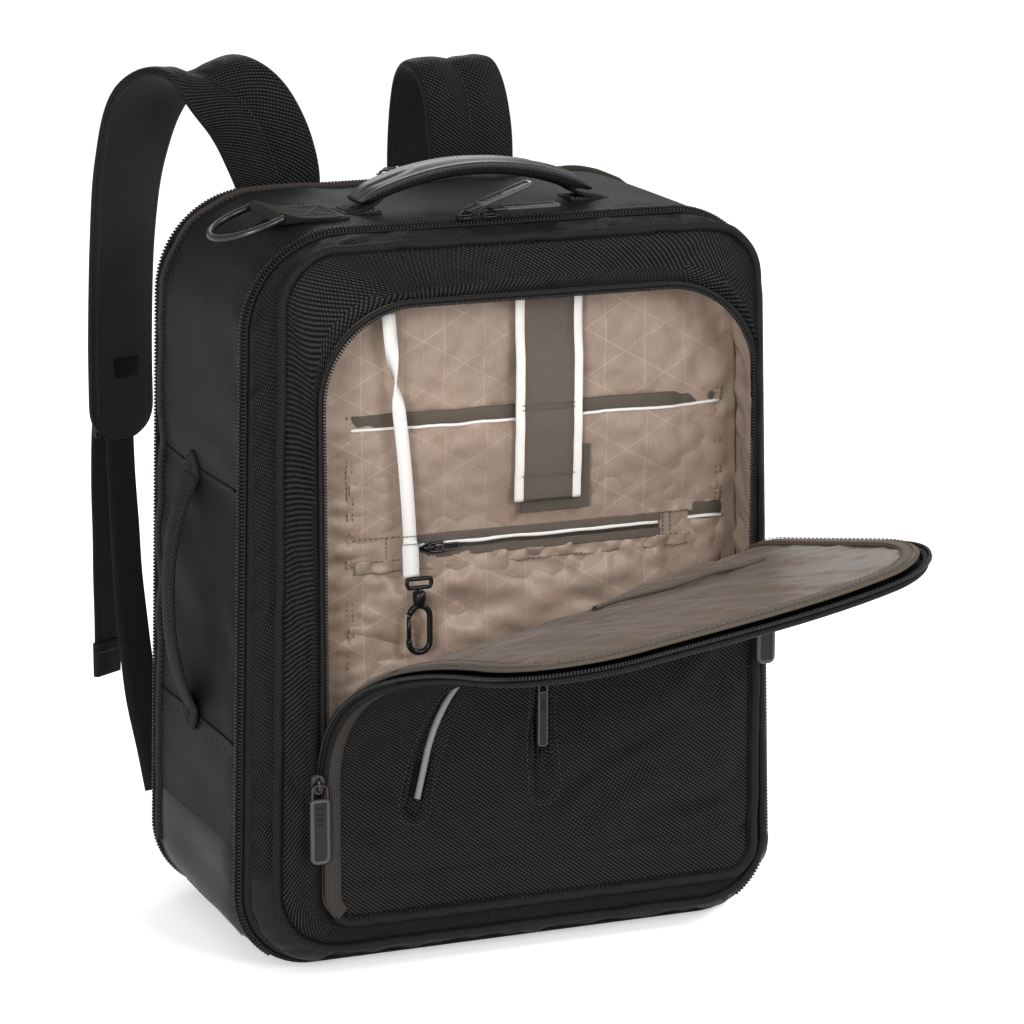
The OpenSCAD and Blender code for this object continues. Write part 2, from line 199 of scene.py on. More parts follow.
def curve(points, n=12):
    """Catmull-Rom curve through rows of numbers."""
    p = np.asarray(points, float)
    out = []
    for i in range(len(p) - 1):
        a, b, c, d = p[max(i - 1, 0)], p[i], p[i + 1], p[min(i + 2, len(p) - 1)]
        t = (np.arange(n) / n)[:, None]
        out.append(0.5 * (2 * b + (c - a) * t + (2 * a - 5 * b + 4 * c - d) * t**2 + (3 * b - a - 3 * c + d) * t**3))
    return np.concatenate(out + [p[-1:]])


# ---------------------------------------------------------------- materials


def link(tree, value, socket):
    if isinstance(value, bpy.types.NodeSocket):
        tree.links.new(value, socket)
    elif value is not None:
        socket.default_value = value


def node(tree, kind, *inputs, out=0, **props):
    n = tree.nodes.new("ShaderNode" + kind)
    for k, v in props.items():
        setattr(n, k, v)
    for socket, value in zip(n.inputs, inputs):
        link(tree, value, socket)
    return n.outputs[out]


def calc(tree, op, *values):
    return node(tree, "Math", *values, operation=op)


def mixed(tree, amount, a, b):
    n = tree.nodes.new("ShaderNodeMix")
    n.data_type = "RGBA"
    link(tree, amount, n.inputs[0])
    link(tree, (*a, 1) if isinstance(a, tuple) else a, n.inputs[6])
    link(tree, (*b, 1) if isinstance(b, tuple) else b, n.inputs[7])
    return n.outputs[2]


def noise(tree, where, scale, detail=3.0, rough=0.5):
    return node(tree, "TexNoise", where, None, scale, detail, rough)


def material(name, rough, metal=0.0, **sockets):
    m = bpy.data.materials.new(name)
    m.use_nodes = True
    t = m.node_tree
    shader = t.nodes["Principled BSDF"]
    shader.inputs["Roughness"].default_value = rough
    shader.inputs["Metallic"].default_value = metal
    for k, v in sockets.items():
        shader.inputs[k.replace("_", " ")].default_value = v
    return m, t, shader


def weave_height(tree, weave, pitch):
    """Height of the yarns, 0 to 1, from UVs that are in metres."""
    uv = node(tree, "SeparateXYZ", node(tree, "UVMap", uv_map="UVMap"))
    u, v = uv.node.outputs[0], uv.node.outputs[1]
    k = 2 * math.pi / (pitch * MM)

    def wave(a, b):
        return calc(tree, "SINE", calc(tree, "ADD", calc(tree, "MULTIPLY", u, a * k),
            calc(tree, "MULTIPLY", v, b * k)))

    if weave in ("twill", "twill_back"):
        s = 1 if weave == "twill" else -1
        rib = calc(tree, "MULTIPLY_ADD", wave(0.8 * s, 1.0), 0.5, 0.5)
        cut = calc(tree, "MULTIPLY_ADD", wave(1.0 * s, -0.8), 0.32, 0.68)
        return calc(tree, "MULTIPLY", rib, cut)
    if weave == "plain":
        return calc(tree, "MULTIPLY_ADD", calc(tree, "MULTIPLY", wave(1, 0), wave(0, 1)), 0.5, 0.5)
    if weave == "ribs":
        across = calc(tree, "ABSOLUTE", wave(0, 0.5))
        return calc(tree, "MULTIPLY", across, calc(tree, "MULTIPLY_ADD", wave(1, 0.5), 0.25, 0.75))
    if weave == "herring":
        side = calc(tree, "PINGPONG", u, 3.0 * MM)
        bent = calc(tree, "ADD", calc(tree, "MULTIPLY", side, k), calc(tree, "MULTIPLY", v, k))
        return calc(tree, "MULTIPLY_ADD", calc(tree, "SINE", bent), 0.5, 0.5)
    if weave == "mesh":
        holes = calc(tree, "MULTIPLY", calc(tree, "ABSOLUTE", wave(0.5, 0.28)),
            calc(tree, "ABSOLUTE", wave(0.5, -0.28)))
        return calc(tree, "POWER", holes, 0.6)
    # satin: fine threads along v
    where = node(tree, "CombineXYZ", calc(tree, "MULTIPLY", u, 2600.0), calc(tree, "MULTIPLY", v, 120.0), None)
    return noise(tree, where, 1.0, 2.0)


def lattice(tree, spacing, width):
    """Thin lines of a plain triangular lattice, 0 to 1."""
    uv = node(tree, "UVMap", uv_map="UVMap")
    lines = None
    for angle in (90, 30, 150):
        n = (math.cos(math.radians(angle - 90)), math.sin(math.radians(angle - 90)), 0)
        d = tree.nodes.new("ShaderNodeVectorMath")
        d.operation = "DOT_PRODUCT"
        link(tree, uv, d.inputs[0])
        d.inputs[1].default_value = [x / (spacing * MM) for x in n]
        off = calc(tree, "ABSOLUTE", calc(tree, "SUBTRACT", calc(tree, "FRACT", d.outputs["Value"]), 0.5))
        on = calc(tree, "LESS_THAN", off, width / spacing)
        lines = on if lines is None else calc(tree, "MAXIMUM", lines, on)
    return lines


def fabric(name, low, high, weave, pitch, rough=0.6, bump=0.5, depth=0.25, sheen=0.0, print_=None, worn=0.25,
        shine=0.1, **sockets):
    """Woven cloth. low is painted shade between the yarns and high a painted highlight on the yarns' tops, mixed by the
    yarns' height.
    """
    m, t, shader = material(name, rough, Sheen_Weight=sheen, Sheen_Roughness=0.4, Specular_IOR_Level=shine, **sockets)
    where = node(t, "TexCoord", out=3)
    h = weave_height(t, weave, pitch)
    broad = noise(t, where, 14.0, 4.0, 0.6)
    fine = noise(t, where, 900.0, 2.0)
    # painted light: the yarns' height blends the painted shade between yarns into the painted highlight on their tops;
    # on twill the power narrows the highlight
    lit = calc(t, "ADD", h, calc(t, "MULTIPLY", calc(t, "SUBTRACT", fine, 0.5), 0.5))
    colour = mixed(t, calc(t, "POWER", calc(t, "MAXIMUM", lit, 0.0), 1.6 if weave.startswith("twill") else 1.0),
        low, high)
    colour = mixed(t, calc(t, "MULTIPLY", broad, worn), colour, tuple(0.45 * x for x in high))
    height = h
    if print_:
        lines = lattice(t, *print_)
        # the printed lattice is real; drawing its lines lighter and fading them with noise is a painted sheen
        print_and_sheen = calc(t, "MULTIPLY", lines, calc(t, "MULTIPLY_ADD", noise(t, where, 9.0, 1.0), 1.1, -0.15))
        colour = mixed(t, calc(t, "MULTIPLY", print_and_sheen, 0.42), colour, tuple(min(1, 1.75 * x) for x in high))
        height = calc(t, "ADD", h, calc(t, "MULTIPLY", lines, 0.8))
    link(t, colour, shader.inputs["Base Color"])
    link(t, calc(t, "MULTIPLY_ADD", calc(t, "SUBTRACT", broad, h), 0.12, rough), shader.inputs["Roughness"])
    b = node(t, "Bump", None, None)
    for key, value in (("Strength", bump), ("Distance", depth * MM), ("Height", height)):
        link(t, value, b.node.inputs[key])
    link(t, b, shader.inputs["Normal"])
    return m


def solid(name, colour, rough, metal=0.0, grain=(400.0, 0.15, 0.05), wear=0.35, edge=None, shine=0.3, **sockets):
    """Moulded rubber, plastic, coated cloth or metal: grain is its noise scale, strength and depth in mm."""
    m, t, shader = material(name, rough, metal, Specular_IOR_Level=shine, **sockets)
    where = node(t, "TexCoord", out=3)
    spots = noise(t, where, grain[0], 3.0)
    broad = noise(t, where, 30.0, 4.0, 0.6)
    tint = mixed(t, calc(t, "MULTIPLY", broad, wear), colour, tuple(min(1, 1.9 * c + 0.004) for c in colour))
    if edge:
        sharp = calc(t, "SMOOTH_MAX", calc(t, "SUBTRACT", node(t, "NewGeometry", out=7), 0.53), 0.0, 0.02)
        tint = mixed(t, calc(t, "MULTIPLY", sharp, 8.0), tint, edge)
    link(t, tint, shader.inputs["Base Color"])
    link(t, calc(t, "MULTIPLY_ADD", calc(t, "SUBTRACT", spots, 0.5), 0.3, rough), shader.inputs["Roughness"])
    b = node(t, "Bump", None, None)
    for key, value in (("Strength", grain[1]), ("Distance", grain[2] * MM), ("Height", spots)):
        link(t, value, b.node.inputs[key])
    link(t, b, shader.inputs["Normal"])
    return m


# BLACK is the black cloth between its yarns; the grey twill colour is a painted highlight on the yarn tops
BLACK, PAINTED_YARN_HIGHLIGHT = (0.0006, 0.0006, 0.0007), (0.066, 0.066, 0.069)
TAUPE, TAUPE_LIT = (0.215, 0.163, 0.128), (0.35, 0.272, 0.218)
M = {
    "twill": fabric("ballistic_twill", BLACK, PAINTED_YARN_HIGHLIGHT, "twill", 2.6, 0.45, 1.0, 0.6, worn=0.25, shine=0.07),
    "twill_back": fabric("ballistic_twill_cross", BLACK, PAINTED_YARN_HIGHLIGHT, "twill_back", 2.6, 0.45, 1.0, 0.6, worn=0.25,
        shine=0.07),
    "plain": fabric("fine_black_cloth", (0.004, 0.004, 0.0043), (0.017, 0.017, 0.018), "plain", 1.1, 0.5, 0.5,
        0.12, shine=0.04),
    "coated": solid("coated_cloth", (0.016, 0.016, 0.0165), 0.42, grain=(900.0, 0.35, 0.12), shine=0.1),
    "binding": fabric("woven_binding", (0.022, 0.019, 0.0165), (0.075, 0.064, 0.056), "ribs", 1.5, 0.62, 0.7, 0.2),
    "piping": fabric("piping_cloth", BLACK, (0.03, 0.03, 0.032), "herring", 1.9, 0.5, 0.8, 0.3),
    "zip_tape": fabric("zip_tape", (0.008, 0.008, 0.0085), (0.028, 0.028, 0.03), "ribs", 1.1, 0.6, 0.6, 0.15),
    "teeth": solid("zip_teeth", (0.014, 0.014, 0.015), 0.3, grain=(300.0, 0.1, 0.05)),
    "webbing": fabric("black_webbing", (0.006, 0.006, 0.0065), (0.034, 0.033, 0.032), "ribs", 1.7, 0.66, 0.9, 0.3),
    "tab": fabric("tab_webbing", (0.014, 0.0125, 0.0115), (0.05, 0.045, 0.041), "ribs", 1.5, 0.7, 0.8, 0.25),
    "rubber": solid("grip_rubber", (0.03, 0.03, 0.033), 0.36, grain=(1100.0, 0.3, 0.08), shine=0.22),
    "gloss": solid("glossy_rubber", (0.055, 0.055, 0.058), 0.22, grain=(500.0, 0.08, 0.03)),
    "trim": solid("pale_grey_trim", (0.16, 0.16, 0.165), 0.3, grain=(500.0, 0.08, 0.03)),
    "pull": solid("pull_rubber", (0.014, 0.014, 0.015), 0.48, grain=(900.0, 0.3, 0.08)),
    "metal": solid("gunmetal", (0.05, 0.05, 0.053), 0.33, 0.85, grain=(600.0, 0.12, 0.03), wear=0.5),
    "plastic": solid("moulded_plastic", (0.009, 0.009, 0.0095), 0.34, grain=(700.0, 0.15, 0.05)),
    "lining": fabric("satin_lining", TAUPE, TAUPE_LIT, "satin", 1.0, 0.42, 0.25, 0.08, sheen=0.12, shine=0.4,
        print_=(27.0, 0.35), worn=0.12),
    "lining_plain": fabric("satin_lining_plain", TAUPE, TAUPE_LIT, "satin", 1.0, 0.42, 0.25, 0.08, sheen=0.12,
        shine=0.4, worn=0.12),
    # darker copy of the lining for the flap: painted shade, the same satin drawn as if in shadow
    "lining_flap": fabric("satin_lining_painted_shade_flap", tuple(0.52 * c for c in TAUPE),
        tuple(0.52 * c for c in TAUPE_LIT), "satin", 1.0, 0.46, 0.25, 0.08, sheen=0.08, shine=0.25,
        print_=(27.0, 0.35), worn=0.12),
    "facing": fabric("taupe_facing", (0.075, 0.062, 0.05), (0.135, 0.115, 0.093), "ribs", 0.9, 0.6, 0.4, 0.12,
        sheen=0.1),
    "taupe_tape": fabric("taupe_webbing", (0.085, 0.07, 0.058), (0.25, 0.21, 0.18), "twill", 1.5, 0.6, 0.8,
        0.25, sheen=0.1),
    "white": fabric("pale_tape", (0.5, 0.48, 0.46), (0.78, 0.76, 0.74), "plain", 1.6, 0.6, 0.6, 0.2, worn=0.06),
    "fuzz": fabric("loop_fastener", (0.07, 0.06, 0.045), (0.17, 0.145, 0.115), "mesh", 1.2, 0.95, 1.0, 0.6,
        sheen=0.4),
    "mesh": fabric("spacer_mesh", (0.004, 0.004, 0.0045), (0.026, 0.026, 0.028), "mesh", 3.2, 0.8, 1.0, 0.8),
    "air": fabric("strap_mesh", (0.011, 0.0115, 0.0105), (0.034, 0.035, 0.033), "mesh", 1.4, 0.85, 0.7, 0.3,
        sheen=0.1),
    "thread": solid("black_thread", (0.03, 0.03, 0.031), 0.55, grain=(2500.0, 0.4, 0.1)),
    "thread_taupe": solid("taupe_thread", (0.12, 0.095, 0.075), 0.55, grain=(2500.0, 0.4, 0.1)),
    "thread_grey": solid("grey_thread", (0.09, 0.09, 0.09), 0.55, grain=(2500.0, 0.4, 0.1)),
    "board": solid("fibre_board", (0.03, 0.03, 0.031), 0.7, grain=(250.0, 0.4, 0.2)),
}

# ---------------------------------------------------------------- meshes


def build(name, verts, faces, mats, body=None, uv=None, index=None, soft=True, matrix=None):
    """Mesh from millimetre points, none below the floor; uv is in metres, one pair per face corner."""
    mats = [mats] if isinstance(mats, str) else mats
    verts = np.asarray(verts, float).reshape(-1, 3)
    if matrix is not None:
        m = np.array(matrix)
        verts = verts @ m[:3, :3].T + m[:3, 3]
    verts = stacked(verts[:, 0], verts[:, 1], np.maximum(verts[:, 2], 0.1))
    mesh = bpy.data.meshes.new(name)
    mesh.from_pydata((verts * MM).tolist(), [], [tuple(f) for f in np.asarray(faces).tolist()]
        if isinstance(faces, np.ndarray) else faces)
    layer = mesh.uv_layers.new(name="UVMap")
    if uv is not None:
        layer.data.foreach_set("uv", np.asarray(uv, np.float32).ravel())
    for key in mats:
        mesh.materials.append(M[key])
    if index is not None:
        mesh.polygons.foreach_set("material_index", np.asarray(index, np.int32))
    mesh.polygons.foreach_set("use_smooth", np.full(len(mesh.polygons), soft))
    mesh.update()
    obj = bpy.data.objects.new(name, mesh)
    bpy.context.scene.collection.objects.link(obj)
    if body:
        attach(obj, body)
    return obj


def grid(name, P, mats, body=None, loop_u=False, loop_v=False, index=None, uv=None, caps=False, turn=False,
        matrix=None, soft=True):
    """Surface through rows of points P[row, column]. index(rows, columns) gives each face's material."""
    P = np.asarray(P, float)
    R, C = P.shape[:2]
    r, c = np.meshgrid(np.arange(R if loop_v else R - 1), np.arange(C if loop_u else C - 1), indexing="ij")
    r1, c1 = (r + 1) % R, (c + 1) % C
    quads = stacked(r * C + c, r * C + c1, r1 * C + c1, r1 * C + c).reshape(-1, 4)
    if uv is None:
        du = np.linalg.norm(np.roll(P, -1, 1) - P, axis=2).mean(0)
        dv = np.linalg.norm(np.roll(P, -1, 0) - P, axis=2).mean(1)
        u, v = np.concatenate([[0], np.cumsum(du)]), np.concatenate([[0], np.cumsum(dv)])
        corners = [(u[c], v[r]), (u[c + 1], v[r]), (u[c + 1], v[r + 1]), (u[c], v[r + 1])]
        uvs = np.stack([np.stack(k, -1) for k in corners], 2)
    else:
        uvs = np.stack([uv[r, c], uv[r, c1], uv[r1, c1], uv[r1, c]], 2)
    if turn:
        uvs = uvs[..., ::-1]
    uvs = uvs.reshape(-1, 4, 2) * MM
    index = None if index is None else np.broadcast_to(index(r, c), r.shape).ravel()
    faces = quads.tolist()
    if caps:
        ends = [list(range(C))[::-1], [(R - 1) * C + k for k in range(C)]]
        faces += ends
        uvs = np.concatenate([uvs.reshape(-1, 2), np.zeros((2 * C, 2))])
        index = None if index is None else np.concatenate([index, [0, 0]])
    return build(name, P, faces, mats, body, uvs, index, soft, matrix)


def bake(obj, subdivide=0, thickness=0.0, offset=-1.0):
    """Applies a solidify and a subdivision to the mesh."""
    if thickness:
        mod = obj.modifiers.new("thick", "SOLIDIFY")
        mod.thickness, mod.offset = thickness * MM, offset
        mod.use_quality_normals = True
    if subdivide:
        mod = obj.modifiers.new("smooth", "SUBSURF")
        mod.levels = mod.render_levels = subdivide
    bpy.context.view_layer.update()
    shown = obj.evaluated_get(bpy.context.evaluated_depsgraph_get())
    mesh = bpy.data.meshes.new_from_object(shown)
    obj.modifiers.clear()
    obj.data = mesh
    return obj


def sweep(name, C, A, U, S, mats, body=None, loop=False, **k):
    """Section S, rows of (across, up), swept through centres C with directions A and U."""
    S = np.asarray(S, float)
    if S.ndim == 2:
        S = np.broadcast_to(S, (len(C), *S.shape))
    P = C[:, None] + A[:, None] * S[..., :1] + U[:, None] * S[..., 1:]
    return grid(name, P, mats, body, loop_u=True, loop_v=loop, caps=not loop, **k)


def circle(r, n=10, squash=1.0):
    a = 2 * math.pi * np.arange(n) / n
    return stacked(r * np.cos(a), r * squash * np.sin(a))


def tube(name, path, r, mats, body=None, closed=False, n=10, up=(0.31, 0.2, 0.93), squash=1.0, **k):
    path = np.asarray(path, float)
    run = np.roll(path, -1, 0) - np.roll(path, 1, 0)
    if not closed:
        run[0], run[-1] = path[1] - path[0], path[-1] - path[-2]
    run = unit(run)
    up = np.broadcast_to(np.asarray(up, float), path.shape)
    across = unit(np.cross(run, up))
    return sweep(name, path, across, np.cross(across, run), circle(r, n, squash), mats, body, closed, **k)


def scatter(name, shape, faces, origins, X, Y, Z, mats, body=None, matrix=None):
    """Copies of a small shape, (across X, along Y, up Z), one at each origin."""
    shape = np.asarray(shape, float)
    V = origins[:, None] + sum(shape[None, :, i : i + 1] * D[:, None] for i, D in enumerate((X, Y, Z)))
    F = (np.asarray(faces)[None] + (np.arange(len(origins)) * len(shape))[:, None, None]).reshape(-1, len(faces[0]))
    uv = np.zeros((F.size, 2))
    return build(name, V, F, mats, body, uv, matrix=matrix)


BOX_FACES = [(0, 3, 2, 1), (4, 5, 6, 7), (0, 1, 5, 4), (1, 2, 6, 5), (2, 3, 7, 6), (3, 0, 4, 7)]


def lozenge(w, l, h, top=0.6):
    """Low box whose upper face is smaller: a tooth or a stitch."""
    a = [(-1, -1), (1, -1), (1, 1), (-1, 1)]
    return [(x * w / 2, y * l / 2, 0) for x, y in a] + [(x * w / 2 * top, y * l / 2 * top, h) for x, y in a]


def stitches(name, path, up, mats, body, pitch=3.6, length=2.5, width=0.7, height=0.45, closed=False, sink=0.1):
    up = np.broadcast_to(np.asarray(up, float), np.shape(path))
    p, n = along(path, pitch, up, closed=closed)
    run = unit(np.gradient(p, axis=0))
    n = unit(n - run * (n * run).sum(1, keepdims=True))
    return scatter(name, lozenge(width, length, height + sink, 0.7), BOX_FACES, p - n * sink, np.cross(run, n),
        run, n, mats, body)


def zipper(name, path, out, side, body, mats="teeth", pitch=2.2, w=2.6, h=1.7):
    """One row of coil teeth; `side` points from the tape to the closing line."""
    p, n, s = along(path, pitch, out, side)
    run = unit(np.gradient(p, axis=0))
    n = unit(n - run * (n * run).sum(1, keepdims=True))
    s = np.cross(run, n) * np.sign((np.cross(run, n) * s).sum(1, keepdims=True))
    shape = [(x, y * 0.62, z) for x, y, z in lozenge(w, pitch, h, 0.75)]
    return scatter(name, shape, BOX_FACES, p - n * h * 0.3, s, run, n, mats, body)


def soft_box(name, lo, hi, r, mats, body, matrix=None, segments=3):
    """Box with rounded edges."""
    bm = bmesh.new()
    bmesh.ops.create_cube(bm, size=1.0)
    lo, hi = np.array(lo, float), np.array(hi, float)
    for v in bm.verts:
        v.co = Vector((lo + hi) / 2 + np.array(v.co) * (hi - lo))
    bmesh.ops.bevel(bm, geom=bm.edges[:], offset=r, segments=segments, profile=0.5, affect="EDGES")
    V = [tuple(v.co) for v in bm.verts]
    F = [tuple(v.index for v in f.verts) for f in bm.faces]
    bm.free()
    uv = np.concatenate([[(V[i][0] * MM, (V[i][1] + V[i][2]) * MM) for i in f] for f in F])
    return build(name, V, F, mats, body, uv, matrix=matrix)


def move(x, y, z):
    return Matrix.Translation((x, y, z))


def turned(axis, degrees):
    return Matrix.Rotation(math.radians(degrees), 4, axis)


def join(name, parts):
    """Several meshes of one body as one piece."""
    main = parts[0]
    verts, faces, uvs, index, mats, base = [], [], [], [], [], 0
    for o in parts:
        me = o.data
        co = np.zeros(len(me.vertices) * 3)
        me.vertices.foreach_get("co", co)
        uv = np.zeros(len(me.loops) * 2)
        me.uv_layers["UVMap"].data.foreach_get("uv", uv)
        for m in me.materials:
            if m not in mats:
                mats.append(m)
        slots = [mats.index(m) for m in me.materials]
        for p in me.polygons:
            faces.append([base + v for v in p.vertices])
            index.append(slots[p.material_index])
        verts.append(co.reshape(-1, 3))
        uvs.append(uv)
        base += len(me.vertices)
    mesh = bpy.data.meshes.new(name)
    mesh.from_pydata(np.concatenate(verts).tolist(), [], faces)
    mesh.uv_layers.new(name="UVMap").data.foreach_set("uv", np.concatenate(uvs))
    for m in mats:
        mesh.materials.append(m)
    mesh.polygons.foreach_set("material_index", index)
    mesh.polygons.foreach_set("use_smooth", np.ones(len(faces), bool))
    mesh.update()
    old = main.data
    main.data = mesh
    bpy.data.meshes.remove(old)
    for o in parts[1:]:
        bpy.data.objects.remove(o)
    main.name = name
    return main

# ---------------------------------------------------------------- walls between upright loops


class Skin:
    """Cloth wall between two upright loops of equally many points; v is 0 on the first and 1 on the second."""

    def __init__(self, a, ya, b, yb, shape):
        self.A, self.B, self.shape = at_y(a, ya), at_y(b, yb), shape
        run = np.roll(self.A + self.B, -1, 0) - np.roll(self.A + self.B, 1, 0)
        self.n = unit(np.cross(run, self.B - self.A))
        out = (self.A + self.B) / 2 - (self.A + self.B).mean(0) / 2
        self.n *= np.sign((self.n * out).sum(1).mean())
        step = np.linalg.norm(np.diff(np.concatenate([self.A, self.A[:1]]), axis=0), axis=1)
        self.s = np.concatenate([[0], np.cumsum(step)[:-1]])

    def at(self, v, off=0.0, cols=None):
        cols = np.arange(len(self.A)) if cols is None else cols
        v = np.atleast_1d(np.asarray(v, float))[:, None]
        A, B, n = self.A[cols], self.B[cols], self.n[cols]
        P = A + (B - A) * v[..., None]
        depth = np.linalg.norm(B - A, axis=-1) * np.ones_like(v)
        return P + n * (self.shape(self.s[cols][None] + 0 * v, v + 0 * depth, depth, P) + off)[..., None]


def seam_dip(v, depth, amount=1.3, width=2.5):
    return -amount * (np.exp(-v * depth / width) + np.exp(-(1 - v) * depth / width))


def bag_shape(s, v, depth, P):
    edge = np.minimum(v, 1 - v) * depth
    pucker = 0.7 * np.exp(-edge / 9) * ripple(stacked(s, v * 8), 15, 3)
    dents = 1.1 * ripple(P * [1, 0.45, 1], 85, 5) * smooth(edge / 25)
    folds = 0.7 * ripple(P * [1, 0.25, 1], 34, 8, 1) * smooth(edge / 18)
    return seam_dip(v, depth) + 1.4 * np.sin(math.pi * np.clip(v, 0, 1)) ** 0.7 + pucker + dents + folds


def gusset_shape(s, v, depth, P):
    edge = np.minimum(v, 1 - v) * depth
    fold = ripple(stacked(s, v * depth * 0.35), 26, 11)
    fine = ripple(stacked(s, v * depth * 0.6), 11, 12, 1)
    return seam_dip(v, depth, 0.8, 1.8) + 1.6 * np.sin(math.pi * np.clip(v, 0, 1)) + (1.15 * fold + 0.45
        * fine) * smooth(edge / 9)


def rows(n, ease=0.55):
    """Row positions from 0 to 1, closer together near the ends."""
    t = np.linspace(0, 1, n)
    return t + ease * (smooth(t) - t)


def wall(name, skin, body, outer, lining="lining_plain", n=30, inner=4.2, strip=None):
    """Closed wall: outer cloth, then lining. strip(v, columns) gives the outer cloth's second material where True."""
    v = rows(n)
    back = rows(max(6, n // 4))[::-1]
    P = np.concatenate([skin.at(v), skin.at(back, -inner)])
    mats = [outer, lining] + ([strip[0]] if strip else [])

    def pick(r, c):
        out = np.where((r >= n) & (r < len(P) - 1), 1, 0)
        return np.where((r < n - 1) & strip[1](v[np.minimum(r, n - 1)], c), 2, out) if strip else out

    return bake(grid(name, P, mats, body, loop_u=True, loop_v=True, index=pick), 1)


def side_columns(skin, low, high, side=None, x_min=0.0):
    """Columns of a skin with z between low and high, on one side or both, away from the middle."""
    x, z = skin.A[:, 0], skin.A[:, 2]
    keep = (z >= low) & (z <= high) & (abs(x) >= x_min)
    if side:
        keep &= x * side > 0
    found = np.flatnonzero(keep)
    cut = np.flatnonzero(np.diff(found) > 1)
    return np.concatenate([found[cut[0] + 1 :], found[: cut[0] + 1]]) if len(cut) == 1 else found


bag_skin = Skin(shell_outline(0.6), -85.6, shell_outline(0.6), 81.6, bag_shape)


def on_side(v, c):
    x, z = bag_skin.A[c, 0], bag_skin.A[c, 2]
    return (x < -150) & (z > 146) & (z < 303) & (v > -1)


wall("bag_wall", bag_skin, "bag", "twill", n=42, strip=("plain", on_side))
front_skin = Skin(front_outline(0.2), -113.4, shell_outline(3.2), -91.0, gusset_shape)
wall("front_gusset_cloth", front_skin, "front_module", "twill_back", n=16, inner=3.2,
    strip=("zip_tape", lambda v, c: v > 0.73))
rear_skin = Skin(shell_outline(3.2), 88.6, back_outline(0.2), 105.8, gusset_shape)
wall("rear_gusset_cloth", rear_skin, "back_module", "twill_back", n=14, inner=3.2,
    strip=("zip_tape", lambda v, c: v < 0.3))

# coated patches at the lower corners
for side, tag in ((-1, "left"), (1, "right")):
    for skin, v0, v1, top, label, body in (
        (bag_skin, 0.005, 0.905, 84, "corner_patch", "bag"),
        (front_skin, 0.03, 0.72, 72, "gusset_patch", "front_module"),
    ):
        cols = side_columns(skin, 10, top, side, 118)
        v = np.linspace(v0, v1, 18)
        edge = np.minimum(np.arange(18), np.arange(17, -1, -1))[:, None] + np.zeros(len(cols))
        tips = np.minimum(np.arange(len(cols)), np.arange(len(cols) - 1, -1, -1))[None]
        lift = 1.5 * smooth(np.minimum(edge, tips) / 1.5) - 0.4
        P = skin.at(v, 0, cols) + skin.n[cols][None] * lift[..., None]
        patch = grid(f"{label}_{tag}", P, "coated", body)
        bake(patch, 1)
        if label == "corner_patch":
            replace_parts(patch, "corner_guards")
        path = P[2:-2, 2 if side > 0 else -3]
        stitches(f"{label}_stitching_{tag}", path, skin.n[cols[2 if side > 0 else -3]], "thread", body)

# flat welt along the rear of the side wall
v_welt = (68.5 + 85.6) / 167.2
cols = side_columns(bag_skin, 40, 470)
path = bag_skin.at([v_welt], 1.1, cols)[0]
welt = tube("side_welt", path, 2.0, "binding", "bag", up=TO_REAR, squash=0.55)
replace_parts(welt, "side_piping")
stitches("side_welt_stitching", bag_skin.at([v_welt - 0.022], 0.35, cols)[0], bag_skin.n[cols], "thread", "bag")
# the seam around the side panel, above and below the grab handle
for z in (146, 303):
    col = side_columns(bag_skin, z - 2.6, z + 2.6, -1)[:1]
    line = bag_skin.at(np.linspace(0.03, 0.9, 40), 0.15, col)[:, 0]
    tube(f"side_seam_{z}", line, 0.8, "plain", "bag", up=bag_skin.n[col][0])

# ---------------------------------------------------------------- zips of the main and rear sections


def ring_tape(name, a, ya, b, yb, off, body, nodes, inner=1.6):
    skin = Skin(a, ya, b, yb, lambda s, v, d, P: 0 * v + off)
    P = np.concatenate([skin.at(np.linspace(0, 1, 4)), skin.at(np.linspace(1, 0, 4), -inner)])
    piece = grid(name, P, "zip_tape", body, loop_u=True, loop_v=True)
    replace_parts(piece, *nodes)


for tag, mid, near, far, near_node, far_node in (
    ("front", ZIP1_Y, ("front_module", -1), ("bag", 1), "zip1_tape_front", "zip1_tape_rear"),
    ("rear", 84.4, ("bag", -1), ("back_module", 1), "zip2_tape_front", "zip2_tape_rear"),
):
    for (body, way), cad in ((near, near_node), (far, far_node)):
        inset = 0.6 if body == "bag" else 2.2
        loop = shell_outline(inset)
        ring_tape(f"{cad}_cloth", loop, mid + way * 0.5, shell_outline(inset), mid + way * 3.2, 0.2, body, [cad])
        pts = at_y(loop, mid + way * 1.75)
        idx = np.flatnonzero(pts[:, 2] > 9)
        cut = np.flatnonzero(np.diff(idx) > 1)
        idx = np.concatenate([idx[cut[0] + 1 :], idx[: cut[0] + 1]]) if len(cut) else idx
        normal = bag_skin.n[idx] * [1, 0, 1]
        side_dir = np.broadcast_to([0.0, -way, 0.0], (len(idx), 3))
        zipper(f"zip_{tag}_teeth_{body}", pts[idx] + normal * 0.3, normal, side_dir, body, pitch=2.3, w=2.7, h=1.7)

# ---------------------------------------------------------------- front face around the opening

